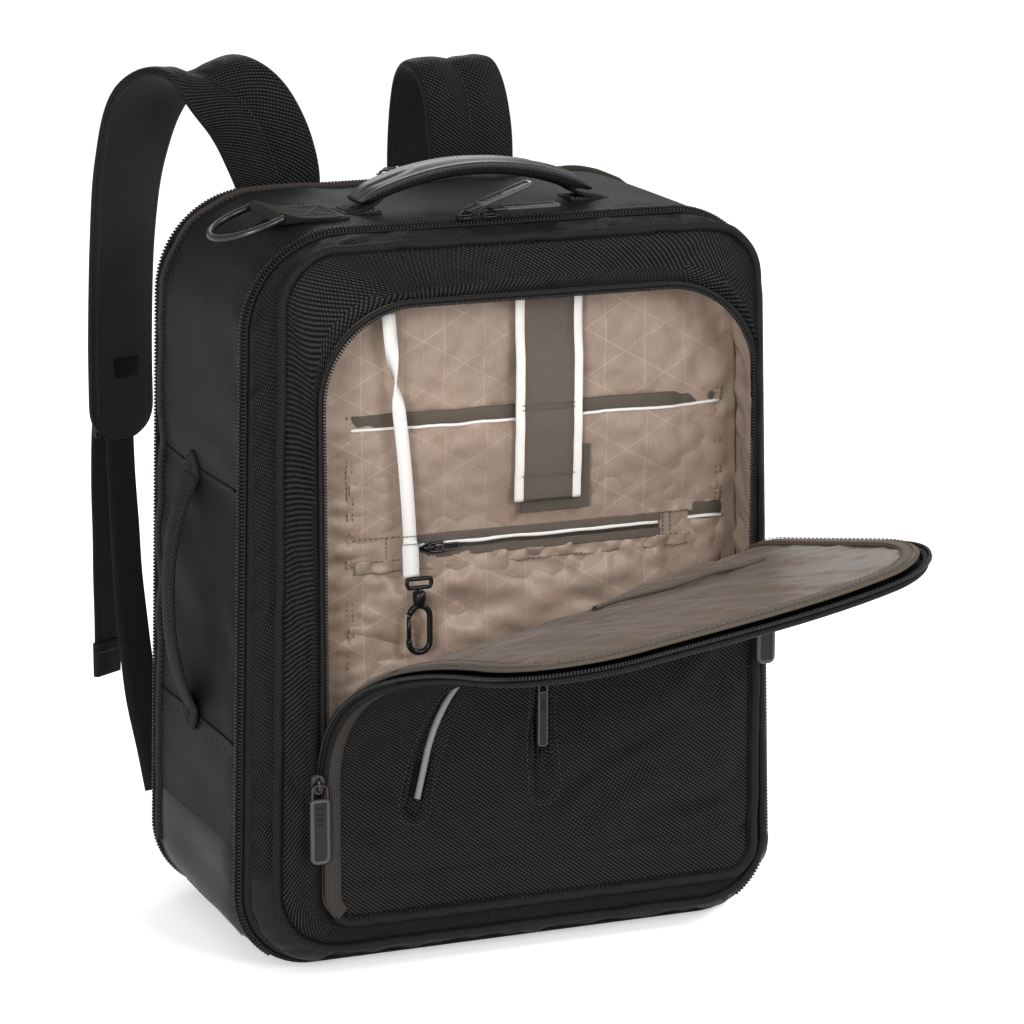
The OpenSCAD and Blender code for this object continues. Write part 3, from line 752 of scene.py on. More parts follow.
edge_loop, win_loop = front_outline(1.2), window(-0.4)
wide = np.linalg.norm(edge_loop - win_loop, axis=1)
t_in = rows(16)
face = edge_loop[None] + (win_loop - edge_loop)[None] * t_in[:, None, None]
arc = np.concatenate([[0], np.cumsum(np.linalg.norm(np.diff(win_loop, axis=0), axis=1))])
to_edge, to_win = t_in[:, None] * wide[None], (1 - t_in)[:, None] * wide[None]
puff = np.minimum(2.6, 0.11 * wide)[None] * smooth(to_edge / 7) * smooth(to_win / 6)
crease = ripple(stacked(arc[None] + 0 * to_edge, to_win * 0.7), 30, 21) * smooth(np.minimum(to_edge, to_win) / 9)
groove = 0.9 * hump(to_win, 11.5, 1.3) * smooth((wide[None] - 20) / 8)
y_face = -116.0 - puff - 0.8 * crease + groove
front = stacked(face[..., 0], y_face, face[..., 1])
rear = stacked(face[::-1, :, 0], np.full_like(y_face, -114.0), face[::-1, :, 1])
border = grid(
    "front_border_cloth", np.concatenate([front, rear[1::3]]), ["twill", "lining_plain", "twill_back"],
    "front_module",
    loop_u=True, loop_v=True,
    index=lambda r, c: np.where(r >= 15, 1, np.where((to_win[np.minimum(r, 15), c] < 11.5) & (wide[c] > 20), 2, 0)),
)
bake(border, 1)
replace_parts(border, "front_border")
pipe = at_y(front_outline(-0.2), -116.6)
pipe += unit(stacked(pipe[:, 0], 0 * pipe[:, 0], pipe[:, 2] - 237)) * (0.35 * ripple(pipe, 24, 31))[:, None]
piping = tube("front_piping_cord", pipe, 2.7, "piping", "front_module", closed=True, up=TO_FRONT, n=12)
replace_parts(piping, "front_piping")
tube("front_piping_seam", at_y(front_outline(3.6), -116.4), 0.7, "plain", "front_module", closed=True, up=TO_FRONT)
tube("front_piping_rear_seam", at_y(front_outline(-0.6), -112.4), 0.7, "plain", "front_module", closed=True,
    up=TO_FRONT)


def arch_part(points, left_z, right_z):
    """The part of a window loop above the two sliders, from the right one over the top to the left one."""
    keep = np.where(points[:, 0] > 10, points[:, 1] > right_z, points[:, 1] > left_z)
    idx = np.flatnonzero(keep)
    return idx[np.argsort(idx)]


idx = arch_part(window(2.4), 128, 226)
P = np.stack([at_y(window(-0.8)[idx], -116.6), at_y(window(-0.6)[idx], -117.9), at_y(window(1.2)[idx], -118.2),
    at_y(window(2.6)[idx], -117.4), at_y(window(2.6)[idx], -116.2), at_y(window(-0.4)[idx], -115.6)])
tape = grid("front_opening_tape", P, "zip_tape", "front_module", loop_v=True)
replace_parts(tape, "front_zip_tape")
teeth_path = at_y(window(3.2)[idx], -117.3)
centre = at_y(window(30)[idx], -117.3)
zipper("front_opening_teeth", teeth_path, same_for([0.0, -1.0, 0.0], teeth_path), centre - teeth_path,
    "front_module", pitch=2.0, w=2.2, h=2.0)

# ---------------------------------------------------------------- organiser lining


def lining_shape(s, v, depth, P):
    edge = np.minimum(v, 1 - v) * depth
    right = smooth((P[..., 0] - 100) / 40)
    return -(1.2 + 1.5 * right) * ripple(stacked(s, v * depth * 0.3), 30,
        41) * smooth(edge / 8) + 2.0 * np.sin(math.pi * v) * 0.6


inside = Skin(window(0.3), -115.2, lining_outline(0.8), -79.0, lining_shape)
P = np.concatenate([inside.at(rows(18), -0.2), inside.at(rows(6)[::-1], 1.2)])
limit = 157.0 + 0.6 * np.maximum(0, P[..., 1] + 113.4)
P[..., 0] = np.clip(P[..., 0], -limit, limit)
gusset_lining = bake(grid("organiser_gusset_lining", P, "lining_plain", "front_module", loop_u=True, loop_v=True), 1)
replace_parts(gusset_lining, "lining_gusset", "front_gusset")
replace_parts(bpy.data.objects["bag_wall"], "main_shell")
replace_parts(bpy.data.objects["rear_gusset_cloth"], "back_gusset")


def row_sheet(outline_points, z0, z1, nz, nx, ease=0.3):
    """x and z of a sheet that fills an outline, row by row."""
    zs = z0 + (z1 - z0) * rows(nz, ease)
    x = spans(outline_points, zs)
    t = rows(nx, 0.2)[None]
    return x[:, :1] + (x[:, 1:] - x[:, :1]) * t, np.broadcast_to(zs[:, None], (nz, nx))


def seam_pucker(d, s, depth, wave, seed, reach=9.0):
    """Small gathers beside a seam: d is the distance from it, s the place along it."""
    return depth * np.exp(-abs(d) / reach) * ripple(stacked(s, d * 0.25), wave, seed)


X, Z = row_sheet(lining_outline(1.2), 21.5, 446.5, 120, 96)
rise = 1.3 * ripple(stacked(X, Z), 70, 51) + 0.5 * ripple(stacked(X, Z * 1.4), 22, 52)
rise += seam_pucker(X + 106, Z, 2.2, 12, 53) * smooth((352 - Z) / 20) - 1.4 * hump(X, -106,
    1.8) * smooth((350 - Z) / 8)
rise += seam_pucker(X - 150, Z, 2.0, 16, 54)
Y = -79.6 - np.clip(rise + 1.2, 0, 6)
back = bake(grid("organiser_wall", stacked(X, Y, Z), "lining", "front_module", uv=stacked(X, Z)), 1, 2.0, 1.0)
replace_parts(back, "lining_wall")

# ---------------------------------------------------------------- pockets of the organiser

INNER = -79.6


def cloth(name, X, Z, Y, mats, thickness=1.0, body="front_module", turn=False, **k):
    piece = grid(name, stacked(X, Y, Z), mats, body, uv=stacked(X, Z), turn=turn, **k)
    return bake(piece, 1, thickness, 1.0)


def patch(x0, x1, z0, z1, step=3.2, ease=0.3):
    nx, nz = max(5, int((x1 - x0) / step)), max(5, int((z1 - z0) / step))
    X, Z = np.meshgrid(x0 + (x1 - x0) * rows(nx, ease), z0 + (z1 - z0) * rows(nz, ease))
    return X, Z


# slip pocket: a sheet that stands off the wall at its open top
X, Z = patch(-103, 146, 267, 337.5)
side = np.minimum(X + 103, 146 - X)
Y = INNER - 1.4 - 5.2 * smooth((Z - 262) / 70) * smooth(side / 45)
Y -= 0.9 * ripple(stacked(X, Z), 48, 61) * smooth(side / 20) + 0.35 * ripple(stacked(X, Z), 17, 62)
Y -= seam_pucker(X + 103, Z, 1.7, 13, 63, 12) + seam_pucker(X - 146, Z, 1.5, 15, 64, 12)
Y -= seam_pucker(Z - 267, X, 1.2, 12, 65, 8) + seam_pucker(Z - 338, X, 0.5, 11, 66, 5)
slip = cloth("slip_pocket_cloth", X, Z, np.minimum(Y, INNER - 0.6), "lining")
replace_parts(slip, "slip_pocket")
top = Y[-1]


def on_pocket(x):
    return np.interp(x, X[-1], top)


xs = np.linspace(-104, 147, 90)
lift = 0.5 * ripple(stacked(xs, 0 * xs), 60, 67)
band = np.stack([stacked(xs, on_pocket(xs) - d, z + lift + 0 * xs) for d, z in
                 ((0.3, 336.5), (1.0, 338.5), (1.2, 342), (1.0, 345.4), (0.2, 346.6), (-1.6, 346.2),
                     (-2.0, 341), (-1.8, 337))])
bake(grid("slip_pocket_binding", band, "facing", "front_module", loop_v=True), 1)
tube("slip_pocket_white_piping", stacked(xs, on_pocket(xs) - 1.3, 337.0 + lift), 1.05, "white", "front_module",
    up=TO_REAR, n=8)
for x in (-103, 146):
    z = np.linspace(267 if x > 0 else 160, 345, 70)
    base = INNER - 1.6 - 0.4 * ripple(stacked(0 * z, z), 13, 63)
    edge = stacked(x + 0.4 * ripple(stacked(z, 0 * z), 30, 68), base - 0.3, z)
    tube(f"pocket_side_binding_{'left' if x < 0 else 'right'}", edge, 2.1, "lining_plain", "front_module",
        up=TO_REAR, squash=0.4, n=8)
    for d in (-1.6, 2.0):
        stitches(f"pocket_side_stitching_{'left' if x < 0 else 'right'}_{'a' if d < 0 else 'b'}",
            edge + [d, -0.55, 0], TO_FRONT, "thread_taupe", "front_module", 3.4, 2.3, 0.6)

# zipped pocket: the strip with its zip, then the gathered cloth below
X, Z = patch(-104, 126, 152, 254)
side = np.minimum(X + 104, 126 - X)
Y = INNER - 1.0 - 4.0 * smooth(side / 35) * smooth((Z - 150) / 30) * smooth((256 - Z) / 26)
Y -= 1.6 * ripple(stacked(X * 0.45, Z * 1.1), 38, 71) * smooth(side / 14) + 0.6 * ripple(stacked(X * 0.6, Z), 15, 72)
Y -= seam_pucker(Z - 252, X, 2.6, 13, 73, 12) + seam_pucker(X + 104, Z, 2.4, 11, 74, 13)
fall = cloth("zip_pocket_cloth", X, Z, np.minimum(Y, INNER - 0.5), "lining")
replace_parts(fall, "zip_pocket")


def strip(name, z0, z1, y, mats, x0=-100, x1=126, body="front_module", seed=76, amount=0.5, **k):
    X, Z = patch(x0, x1, z0, z1, 2.2, 0.1)
    Y = y - amount * ripple(stacked(X, Z), 14, seed)
    return cloth(name, X, Z, Y, mats, 0.8, body, **k)


hem = strip("zip_pocket_hem", 245.5, 254.5, INNER - 3.2, "lining_plain", amount=1.0)
strip("zip_strip_ends", 252.5, 268.5, INNER - 2.2, "lining_plain", -104, 126, amount=0.4)
tapes = [strip("zip_strip_upper_tape", 262.6, 268.2, INNER - 3.7, "taupe_tape", -62, 106, amount=0.25),
    strip("zip_strip_lower_tape", 252.6, 258.4, INNER - 3.7, "taupe_tape", -62, 106, amount=0.25)]
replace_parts(tapes[0], "zip_pocket_tape")
xs = np.linspace(-58, 104, 60)
line = stacked(xs, 0 * xs + INNER - 4.0, 261.6 + 0.3 * ripple(stacked(xs, 0 * xs), 50, 77))
tube("zip_strip_white_cord", line, 1.35, "white", "front_module", up=TO_REAR, squash=0.8, n=8)
for k, z in enumerate((-2.6, -1.2)):
    zipper(f"zip_strip_teeth_{k}", line + [0, -0.2, z], same_for([0.0, -1.0, 0.0], line),
        same_for([0.0, 0.0, 1.0 - 2 * k], line), "front_module", "facing", 1.7, 1.4, 1.1)
for z, x0, x1 in ((268.0, -100, 124), (253.4, -100, 124), (246.6, -100, 124)):
    xs = np.linspace(x0, x1, 60)
    stitches(f"zip_strip_stitching_{int(z)}", stacked(xs, 0 * xs + INNER - 3.9, z + 0 * xs), TO_FRONT,
        "thread_taupe", "front_module", 3.6, 2.4, 0.7)
for x in (-79, -68, 108, 113):
    zs = np.linspace(254, 267, 8)
    stitches(f"zip_strip_bar_{'m' if x < 0 else 'p'}{abs(x)}", stacked(0 * zs + x, 0 * zs + INNER - 3.3, zs),
        TO_FRONT, "thread_taupe", "front_module", 2.6, 1.8, 0.6)

# pen pocket with a white edge
X, Z = patch(126, 149, 170, 262, 2.4)
Y = INNER - 1.2 - 4.0 * np.sin(math.pi * (X - 126) / 23) * smooth((Z - 168) / 30) - 0.6 * ripple(stacked(X, Z),
    18, 81)
pen = cloth("pen_pocket_cloth", X, Z, Y, "lining_plain")
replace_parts(pen, "pen_pocket")
xs = np.linspace(125.6, 149.4, 16)
tube("pen_pocket_white_piping", stacked(xs, INNER - 2.0 - 4.0 * np.sin(math.pi * (xs - 125.6) / 23.8),
    262.6 + 1.2 * np.sin((xs - 126) / 7)), 1.2, "white", "front_module", up=TO_REAR, n=8)
band = np.stack([stacked(xs, INNER - d - 4.0 * np.sin(math.pi * (xs - 125.6) / 23.8), z + 0 * xs) for d,
    z in ((1.6, 263), (2.2, 266), (2.0, 271), (1.0, 273.5), (0.2, 271), (0.2, 264))])
bake(grid("pen_pocket_band", band, "facing", "front_module", loop_v=True), 1)

# fastener patch under the strap
X, Z = patch(8, 56, 277, 318, 2.0, 0.1)
Y = np.interp(X, patch(-103, 146, 267, 337.5)[0][-1], top) * smooth((Z - 262) / 60) + (INNER - 2.5) * (
    1 - smooth((Z - 262) / 60)) - 1.6
fuzz = cloth("fastener_patch", X, Z, np.minimum(Y - 0.25 * ripple(stacked(X, Z), 2.6, 83, 1), -86.4), "fuzz", 1.0)
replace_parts(fuzz, "hook_patch")

# retention strap: webbing with pale edges, doubled at its end
zs = np.linspace(417, 285, 70)
ys = -89.2 - 1.6 * np.sin(math.pi * (417 - zs) / 132) + 0.6 * ripple(stacked(zs, 0 * zs), 60,
    91) - 0.9 * smooth((330 - zs) / 30)
cx = 26 + 0.8 * np.sin((zs - 285) / 60)
C = stacked(cx, ys, zs)
run = unit(np.gradient(C, axis=0))
A = same_for([1.0, 0.0, 0.0], C)
U = np.cross(run, A)
flat = np.array([(-17.5, -0.8), (-9, -0.95), (0, -1), (9, -0.95), (17.5, -0.8), (17.5, 0.8), (9, 0.95), (0, 1),
    (-9, 0.95), (-17.5, 0.8)])
centre_band = sweep("retention_strap_webbing", C, A, U, flat, "taupe_tape", "retention_strap")
for k, x in enumerate((-19.2, 19.2)):
    sweep(f"retention_strap_edge_{k}", C + A * x, A, U, circle(3.3, 14, 0.46), "white", "retention_strap")
for k, z in enumerate((346, 343, 301)):
    xs = np.linspace(9, 43, 20)
    stitches(f"retention_strap_stitching_{k}", stacked(xs, 0 * xs + np.interp(-z, -zs, ys) - 1.3, 0 * xs + z),
        TO_FRONT, "thread_taupe", "retention_strap", 3.0, 2.1, 0.6)
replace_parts(centre_band, "retention_strap")

# leash: narrow pale tape with one twist, looped through the snap hook's eye
t = np.linspace(0, 1, 90)
C = stacked(-81 + 15 * smooth(t) + 1.5 * np.sin(5 * t), -95.3 - 0.8 * np.sin(math.pi * t), 411 - 166 * t)
twist = math.pi * smooth((t - 0.1) / 0.28)
run = unit(np.gradient(C, axis=0))
A0 = unit(np.cross(run, [0.0, -1.0, 0.0]))
U0 = np.cross(run, A0)
A = A0 * np.cos(twist)[:, None] + U0 * np.sin(twist)[:, None]
U = np.cross(run, A)
width = (4.3 - 1.5 * hump(t, 0.24, 0.07) + 0.9 * smooth((t - 0.86) / 0.03))[:, None]
flat = np.array([(-1, -0.5), (0, -0.62), (1, -0.5), (1, 0.5), (0, 0.62), (-1, 0.5)])
S = stacked(flat[None, :, 0] * width, flat[None, :, 1] * (1 + 0.9 * smooth((t - 0.86) / 0.03))[:, None])
leash = sweep("leash_tape", C, A, U, S, "white", "leash")
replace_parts(leash, "leash")
for k, z in enumerate((271, 266)):
    xs = np.linspace(-72.5, -62, 8)
    stitches(f"leash_stitching_{k}", stacked(xs + (k * 0.4), 0 * xs - 97.4, 0 * xs + z), TO_FRONT,
        "thread_grey", "leash", 2.2, 1.6, 0.5)

# snap hook in rounded plastic
hx, hy = -62.0, -95.3


def hook_path(points):
    return np.array([(hx + x, hy, z) for x, z in points])


eye = hook_path([(-7.6, 243.2), (7.6, 243.2), (8.2, 240.4), (7.0, 237.6), (-7.0, 237.6), (-8.2, 240.4)])
eye_ring = tube("hook_eye_ring", along(np.concatenate([eye, eye[:1]]), 1.5)[:-1], 1.35, "plastic", "leash",
    closed=True, up=TO_REAR)
tube("hook_swivel_pin", [(hx, hy, 237.5), (hx, hy, 233), (hx, hy, 229)], 1.4, "plastic", "leash", up=TO_REAR)
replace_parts(eye_ring, "hook_eye")
collar = np.stack([[hx, hy, z] for z in (235.4, 234.6, 231, 227.5, 226.2)])
radii = np.array([2.6, 4.0, 4.2, 3.6, 3.0])[:, None, None]
sweep("hook_collar", collar, np.broadcast_to([1.0, 0, 0], (5, 3)), np.broadcast_to([0, 1.0, 0], (5, 3)),
    circle(1, 16)[None] * radii, "plastic", "hook_body")
a = np.radians(np.linspace(128, -180, 40))
bow = [(6.9 * math.sin(q), 219 + 6.9 * math.cos(q)) for q in np.radians(np.linspace(-50, 90, 12))]
low = [(6.9 * math.sin(q), 203 + 6.9 * math.cos(q)) for q in np.radians(np.linspace(90, 262, 16))]
tip = [(-6.9, 204.6)]
body = tube("hook_bow", along(hook_path(bow + low + tip), 1.6), 1.9, "plastic", "hook_body", up=TO_REAR)
tube("hook_neck", hook_path([(0, 227.5), (-2.6, 225.4), (-5.6, 222.6), (-6.8, 220.3)]), 2.0, "plastic",
    "hook_body", up=TO_REAR)
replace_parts(body, "hook_body")
gate = tube("hook_gate_bar", hook_path([(-6.9, 205.4), (-6.9, 212), (-6.9, 219.4)]), 1.45, "plastic",
    "hook_gate", up=TO_REAR)
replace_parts(gate, "hook_gate")

# ---------------------------------------------------------------- front panel and flap, one cloth that folds forwards

PIVOT = np.array([-134.0, -122.0, 172.0])
TILT = math.atan(66 / 288)
ALONG = np.array([math.cos(TILT), 0, math.sin(TILT)])
UPWARD = np.array([-math.sin(TILT), 0, math.cos(TILT)])
FORWARD = np.array([0.0, -1.0, 0.0])
START = 46.0
SPAN = 300.0
_d = np.linspace(0, 330, 166)


def _angle(d, k):
    """Angle of the cloth from upright at distance d past the fold's start; k runs from 0 left to 1 right."""
    left = math.radians(81) * (1 - np.exp(-d / 62))
    right = math.radians(84) * smooth((d - 22) / 62)
    tip = math.radians(5) * smooth((d - 150) / 120)
    return left + (right - left) * smooth(k) + tip


_k = np.linspace(0, 1, 21)
_theta = np.stack([_angle(_d, k) for k in _k])
_step = _d[1] - _d[0]
_up = np.concatenate([np.zeros((21, 1)), np.cumsum((np.cos(_theta[:, 1:]) + np.cos(_theta[:, :-1])) / 2 * _step,
    1)], 1)
_out = np.concatenate([np.zeros((21, 1)),
    np.cumsum((np.sin(_theta[:, 1:]) + np.sin(_theta[:, :-1])) / 2 * _step, 1)], 1)


def _look(table, d, k):
    a = np.clip(d / _step, 0, len(_d) - 1.001)
    b = np.clip(k * 20, 0, 19.999)
    i, j = a.astype(int), b.astype(int)
    f, g = a - i, b - j
    return (table[j, i] * (1 - f) + table[j, i + 1] * f) * (1 - g) + (table[j + 1, i] * (1 - f) + table[j + 1,
        i + 1] * f) * g


def folded(x, z, h=0.0):
    """Where a point of the closed panel, h in front of its middle layer, stands when the flap is open."""
    x, z, h = np.broadcast_arrays(np.asarray(x, float), np.asarray(z, float), np.asarray(h, float))
    rel_x, rel_z = x - PIVOT[0], z - PIVOT[2]
    u = rel_x * ALONG[0] + rel_z * ALONG[2]
    d = rel_x * UPWARD[0] + rel_z * UPWARD[2] + START
    k = np.clip(u / SPAN, 0, 1)
    bent = d > 0
    dd = np.maximum(d, 0)
    th = np.where(bent, _look(_theta, dd, k), 0.0)
    up = np.where(bent, _look(_up, dd, k), d) - START
    out = np.where(bent, _look(_out, dd, k), 0.0)
    base = np.array([PIVOT[0], -118.0, PIVOT[2]])
    lean = 0.14 * smooth(k) * out
    p = base + (u + lean)[..., None] * ALONG + up[..., None] * UPWARD + out[..., None] * FORWARD
    return p + h[..., None] * (np.cos(th)[..., None] * FORWARD - np.sin(th)[..., None] * UPWARD)


def fold_gap(x, z):
    """Distance above the start of the fold."""
    return (x - PIVOT[0]) * UPWARD[0] + (z - PIVOT[2]) * UPWARD[2] + START


def bend_over(piece):
    """Bakes the piece's placement into its mesh; folded() has already turned it with the flap."""
    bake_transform(piece)


def panel_height(X, Z):
    """Padding, tension folds and the hollow seam of the outer cloth."""
    edge = np.minimum(np.minimum(X - x_lo(Z), x_hi(Z) - X), np.minimum(Z - 34, 422 - Z))
    h = 3.0 + 3.2 * smooth(edge / 26)
    # long folds that run up to the right, strongest right of the middle
    s = (Z - 60) * 0.83 - (X + 30) * 0.55
    fold = np.sin(s / 9.5 + 1.3 * ripple(stacked(X, Z), 150, 101, 1))
    strong = smooth((X + 60) / 90) * smooth((150 - abs(X - 70)) / 60) * smooth((edge - 4) / 25) * smooth(
        (Z - 48) / 30)
    h += 4.6 * fold * strong
    h += 1.3 * ripple(stacked(X * 0.8, Z), 90, 102) * smooth(edge / 20)
    h += 0.5 * ripple(stacked(X, Z), 26, 103, 1) * smooth(edge / 12)
    # pulled gathers at the lower left
    h += 2.0 * np.sin((X * 0.35 + Z) / 5.2) * hump(X, -108, 24) * hump(Z, 98, 30)
    h -= 2.0 * hump(Z, 62 + 0.02 * X, 1.9)
    return h


_zz = np.linspace(34, 422, 400)
_span = spans(window(1.5), np.clip(_zz, 35.6, 420.4))


def x_lo(z):
    return np.interp(z, _zz, _span[:, 0])


def x_hi(z):
    return np.interp(z, _zz, _span[:, 1])


# upright pocket openings: centre, lean, lower and upper end, half width; they lean about WELT_MID
WELT_MID = 148
WELTS = ((-67.5, 0.23, 106, 190, 6.0), (8.0, -0.02, 108, 196, 5.4))


def welt_x(x0, lean, z):
    """Centre of a leaning pocket opening at height z."""
    return x0 - lean * (WELT_MID - z)


def near_welt(X, Z):
    """Distance from the nearest pocket opening's line, with the wider opening counted as nearer."""
    d = np.full(np.shape(X), 99.0)
    for x0, lean, z0, z1, half in WELTS:
        zz = np.clip(Z, z0, z1)
        d = np.minimum(d, np.hypot(X - welt_x(x0, lean, zz), Z - zz) + 6.0 - half)
    return d


zs = 35.0 + 386.0 * np.linspace(0, 1, 176)
T = rows(128, 0.2)
Z = np.broadcast_to(zs[:, None], (len(zs), len(T)))
X = x_lo(zs)[:, None] + (x_hi(zs) - x_lo(zs))[:, None] * T[None]
H = panel_height(X, Z)
w = near_welt(X, Z)
H = H + 1.6 * hump(w, 9.5, 3.2) - 3.0 * smooth((6.5 - w) / 2.5)
P = folded(X, Z, H)
panel = bake(grid("front_panel_cloth", P, "twill", uv=stacked(X, Z)), 1)
bend_over(panel)
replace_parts(panel, "lower_panel", "flap_panel", "lower_welts")


def rim(inset):
    """Points around the panel's edge, from the lower left up and over to the lower right, in the flat."""
    loop = window(inset)
    order = np.roll(np.arange(len(loop)), -int(np.argmin(abs(loop[:, 0] + 134) + abs(loop[:, 1] - 80))))
    return loop[order][::-1]


def ribbon(name, insets, heights, mats, keep=None, close=True, smooth_=1):
    """Band around the panel's edge through (inset, height) pairs."""
    loops = [rim(i) for i in insets]
    keep = np.arange(len(loops[0])) if keep is None else keep
    P = np.stack([folded(l[keep, 0], l[keep, 1], h) for l, h in zip(loops, heights)])
    piece = grid(name, P, mats, loop_u=len(keep) == len(loops[0]), loop_v=close)
    bake(piece, smooth_)
    bend_over(piece)
    return piece


edge = rim(0)
gap = fold_gap(edge[:, 0], edge[:, 1])
up_part = np.flatnonzero((edge[:, 1] > 127) & (gap > -20) & ~((edge[:, 0] > 100) & (edge[:, 1] < 226)))
low_part = np.flatnonzero(~((edge[:, 1] > 132) & (gap > -14)) | ((edge[:, 0] > 100) & (edge[:, 1] < 222)))
low_edge = edge[low_part]
left_part = low_part[(low_edge[:, 0] < -96) & (low_edge[:, 1] > 40)]
band_part = np.flatnonzero((edge[:, 0] < -90) & (edge[:, 1] > 38) & (edge[:, 1] < 270))
band_part = band_part[np.argsort((band_part + len(edge) // 2) % len(edge))]
ribbon("panel_edge_binding", (-0.6, -1.4, 0.0, 4.0, 9.6, 10.4, 4.0), (0.0, 2.4, 4.9, 5.6, 5.6, 3.0, 1.2),
    "binding", band_part)
black_part = np.flatnonzero(~np.isin(np.arange(len(edge)), np.concatenate([up_part, left_part])))
gap_at = np.flatnonzero(np.diff(black_part) > 1)
for k, part in enumerate(np.split(black_part, gap_at + 1)):
    if len(part) > 6:
        line = folded(rim(0.6)[part, 0], rim(0.6)[part, 1], 1.4)
        line += [0, -1, 0] * (0.5 * ripple(line, 20, 131))[:, None]
        bend_over(tube(f"panel_edge_piping_{k}", line, 3.5, "piping", up=TO_FRONT, n=12))
        line = folded(rim(5.0)[part, 0], rim(5.0)[part, 1], 3.6)
        bend_over(tube(f"panel_edge_seam_{k}", line, 0.8, "plain", up=TO_FRONT, n=8))
# zip along the flap's free edge: tape, teeth, then the dark corded edge
tape = ribbon("flap_zip_tape_cloth", (-2.6, -2.8, 1.5, 2.2), (-1.2, 0.8, 1.6, -1.0), "zip_tape", up_part)
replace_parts(tape, "flap_zip_tape")
loop = rim(-3.2)[up_part]
path = folded(loop[:, 0], loop[:, 1], -0.6)
out = folded(rim(-8)[up_part, 0], rim(-8)[up_part, 1], -0.6) - path
nrm = folded(loop[:, 0], loop[:, 1], -5) - path
teeth = zipper("flap_zip_teeth", path, nrm, out, None, pitch=2.0, w=2.2, h=2.0)
bend_over(teeth)
loop = rim(0.4)[up_part]
cord_path = folded(loop[:, 0], loop[:, 1], 3.2)
cordp = tube("flap_edge_cord", cord_path, 2.1, "piping", up=TO_TOP)
bend_over(cordp)

# flap lining with its darker hem and a slit pocket
T = rows(110, 0.2)
start = 118 + (np.linspace(-134, 154, len(T))[None] + 134) * math.tan(TILT)
Z = start + (417.6 - start) * np.linspace(0, 1, 130)[:, None]
sides = spans(window(4), np.clip(_zz, 38.2, 417.8))
lo, hi = np.interp(Z, _zz, sides[:, 0]), np.interp(Z, _zz, sides[:, 1])
X = lo + (hi - lo) * T[None]
slit = np.array([(2.0, 281.0), (104.0, 304.0)])
sdir = (slit[1] - slit[0]) / np.linalg.norm(slit[1] - slit[0])
sa = (X - slit[0, 0]) * sdir[0] + (Z - slit[0, 1]) * sdir[1]
sb = -(X - slit[0, 0]) * sdir[1] + (Z - slit[0, 1]) * sdir[0]
inrun = smooth((sa + 4) / 8) * smooth((109 - sa) / 8)
H = -4.2 - 1.0 * ripple(stacked(X, Z), 80, 111) - 0.35 * ripple(stacked(X, Z), 24, 112)
H -= 2.2 * inrun * np.exp(-np.clip(-sb, 0, None) / 14) * (sb < 0) - 1.2 * inrun * hump(sb, 1.5, 2.2)
H = np.minimum(H, -3.2)
# the flap lining takes the darker copy of the lining, which is painted shade
lin = bake(grid("flap_lining_cloth", folded(X, Z, H), "lining_flap", uv=stacked(X, Z)), 1)
bend_over(lin)
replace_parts(lin, "flap_lining")
ribbon("flap_hem", (1.6, 2.2, 8, 13.5, 14.5, 8), (-2.6, -5.0, -6.0, -5.6, -3.6, -3.0), "facing", up_part)
for inset in (5.5, 12.0):
    loop = rim(inset)[up_part]
    p = folded(loop[:, 0], loop[:, 1], -5.9)
    n = folded(loop[:, 0], loop[:, 1], -9) - p
    seam = stitches(f"flap_hem_stitching_{int(inset)}", p, n, "thread_taupe", None, 3.6, 2.5, 0.7)
    bend_over(seam)
s = np.linspace(-3, 108, 60)
wave = 0.9 * np.sin(s / 7.0) * smooth(s / 15) * smooth((105 - s) / 15)
px, pz = slit[0, 0] + s * sdir[0] - wave * sdir[1], slit[0, 1] + s * sdir[1] + wave * sdir[0]
lip = []
for d, h in ((-7.0, -5.6), (-6.4, -7.0), (-2.0, -8.0), (0.6, -8.6), (1.2, -7.4), (0.4, -6.0), (-3.0, -5.2)):
    lip.append(folded(px - d * sdir[1], pz + d * sdir[0], h - 0.5 * np.sin(s / 9.0)))
lip = bake(grid("flap_slit_lip", np.stack(lip), "facing", loop_v=True), 1)
bend_over(lip)
p = folded(px + 4.6 * sdir[1], pz - 4.6 * sdir[0], -7.7)
n = folded(px + 4.6 * sdir[1], pz - 4.6 * sdir[0], -12) - p
bend_over(stitches("flap_slit_stitching", p, n, "thread_taupe", None, 3.4, 2.3, 0.6))

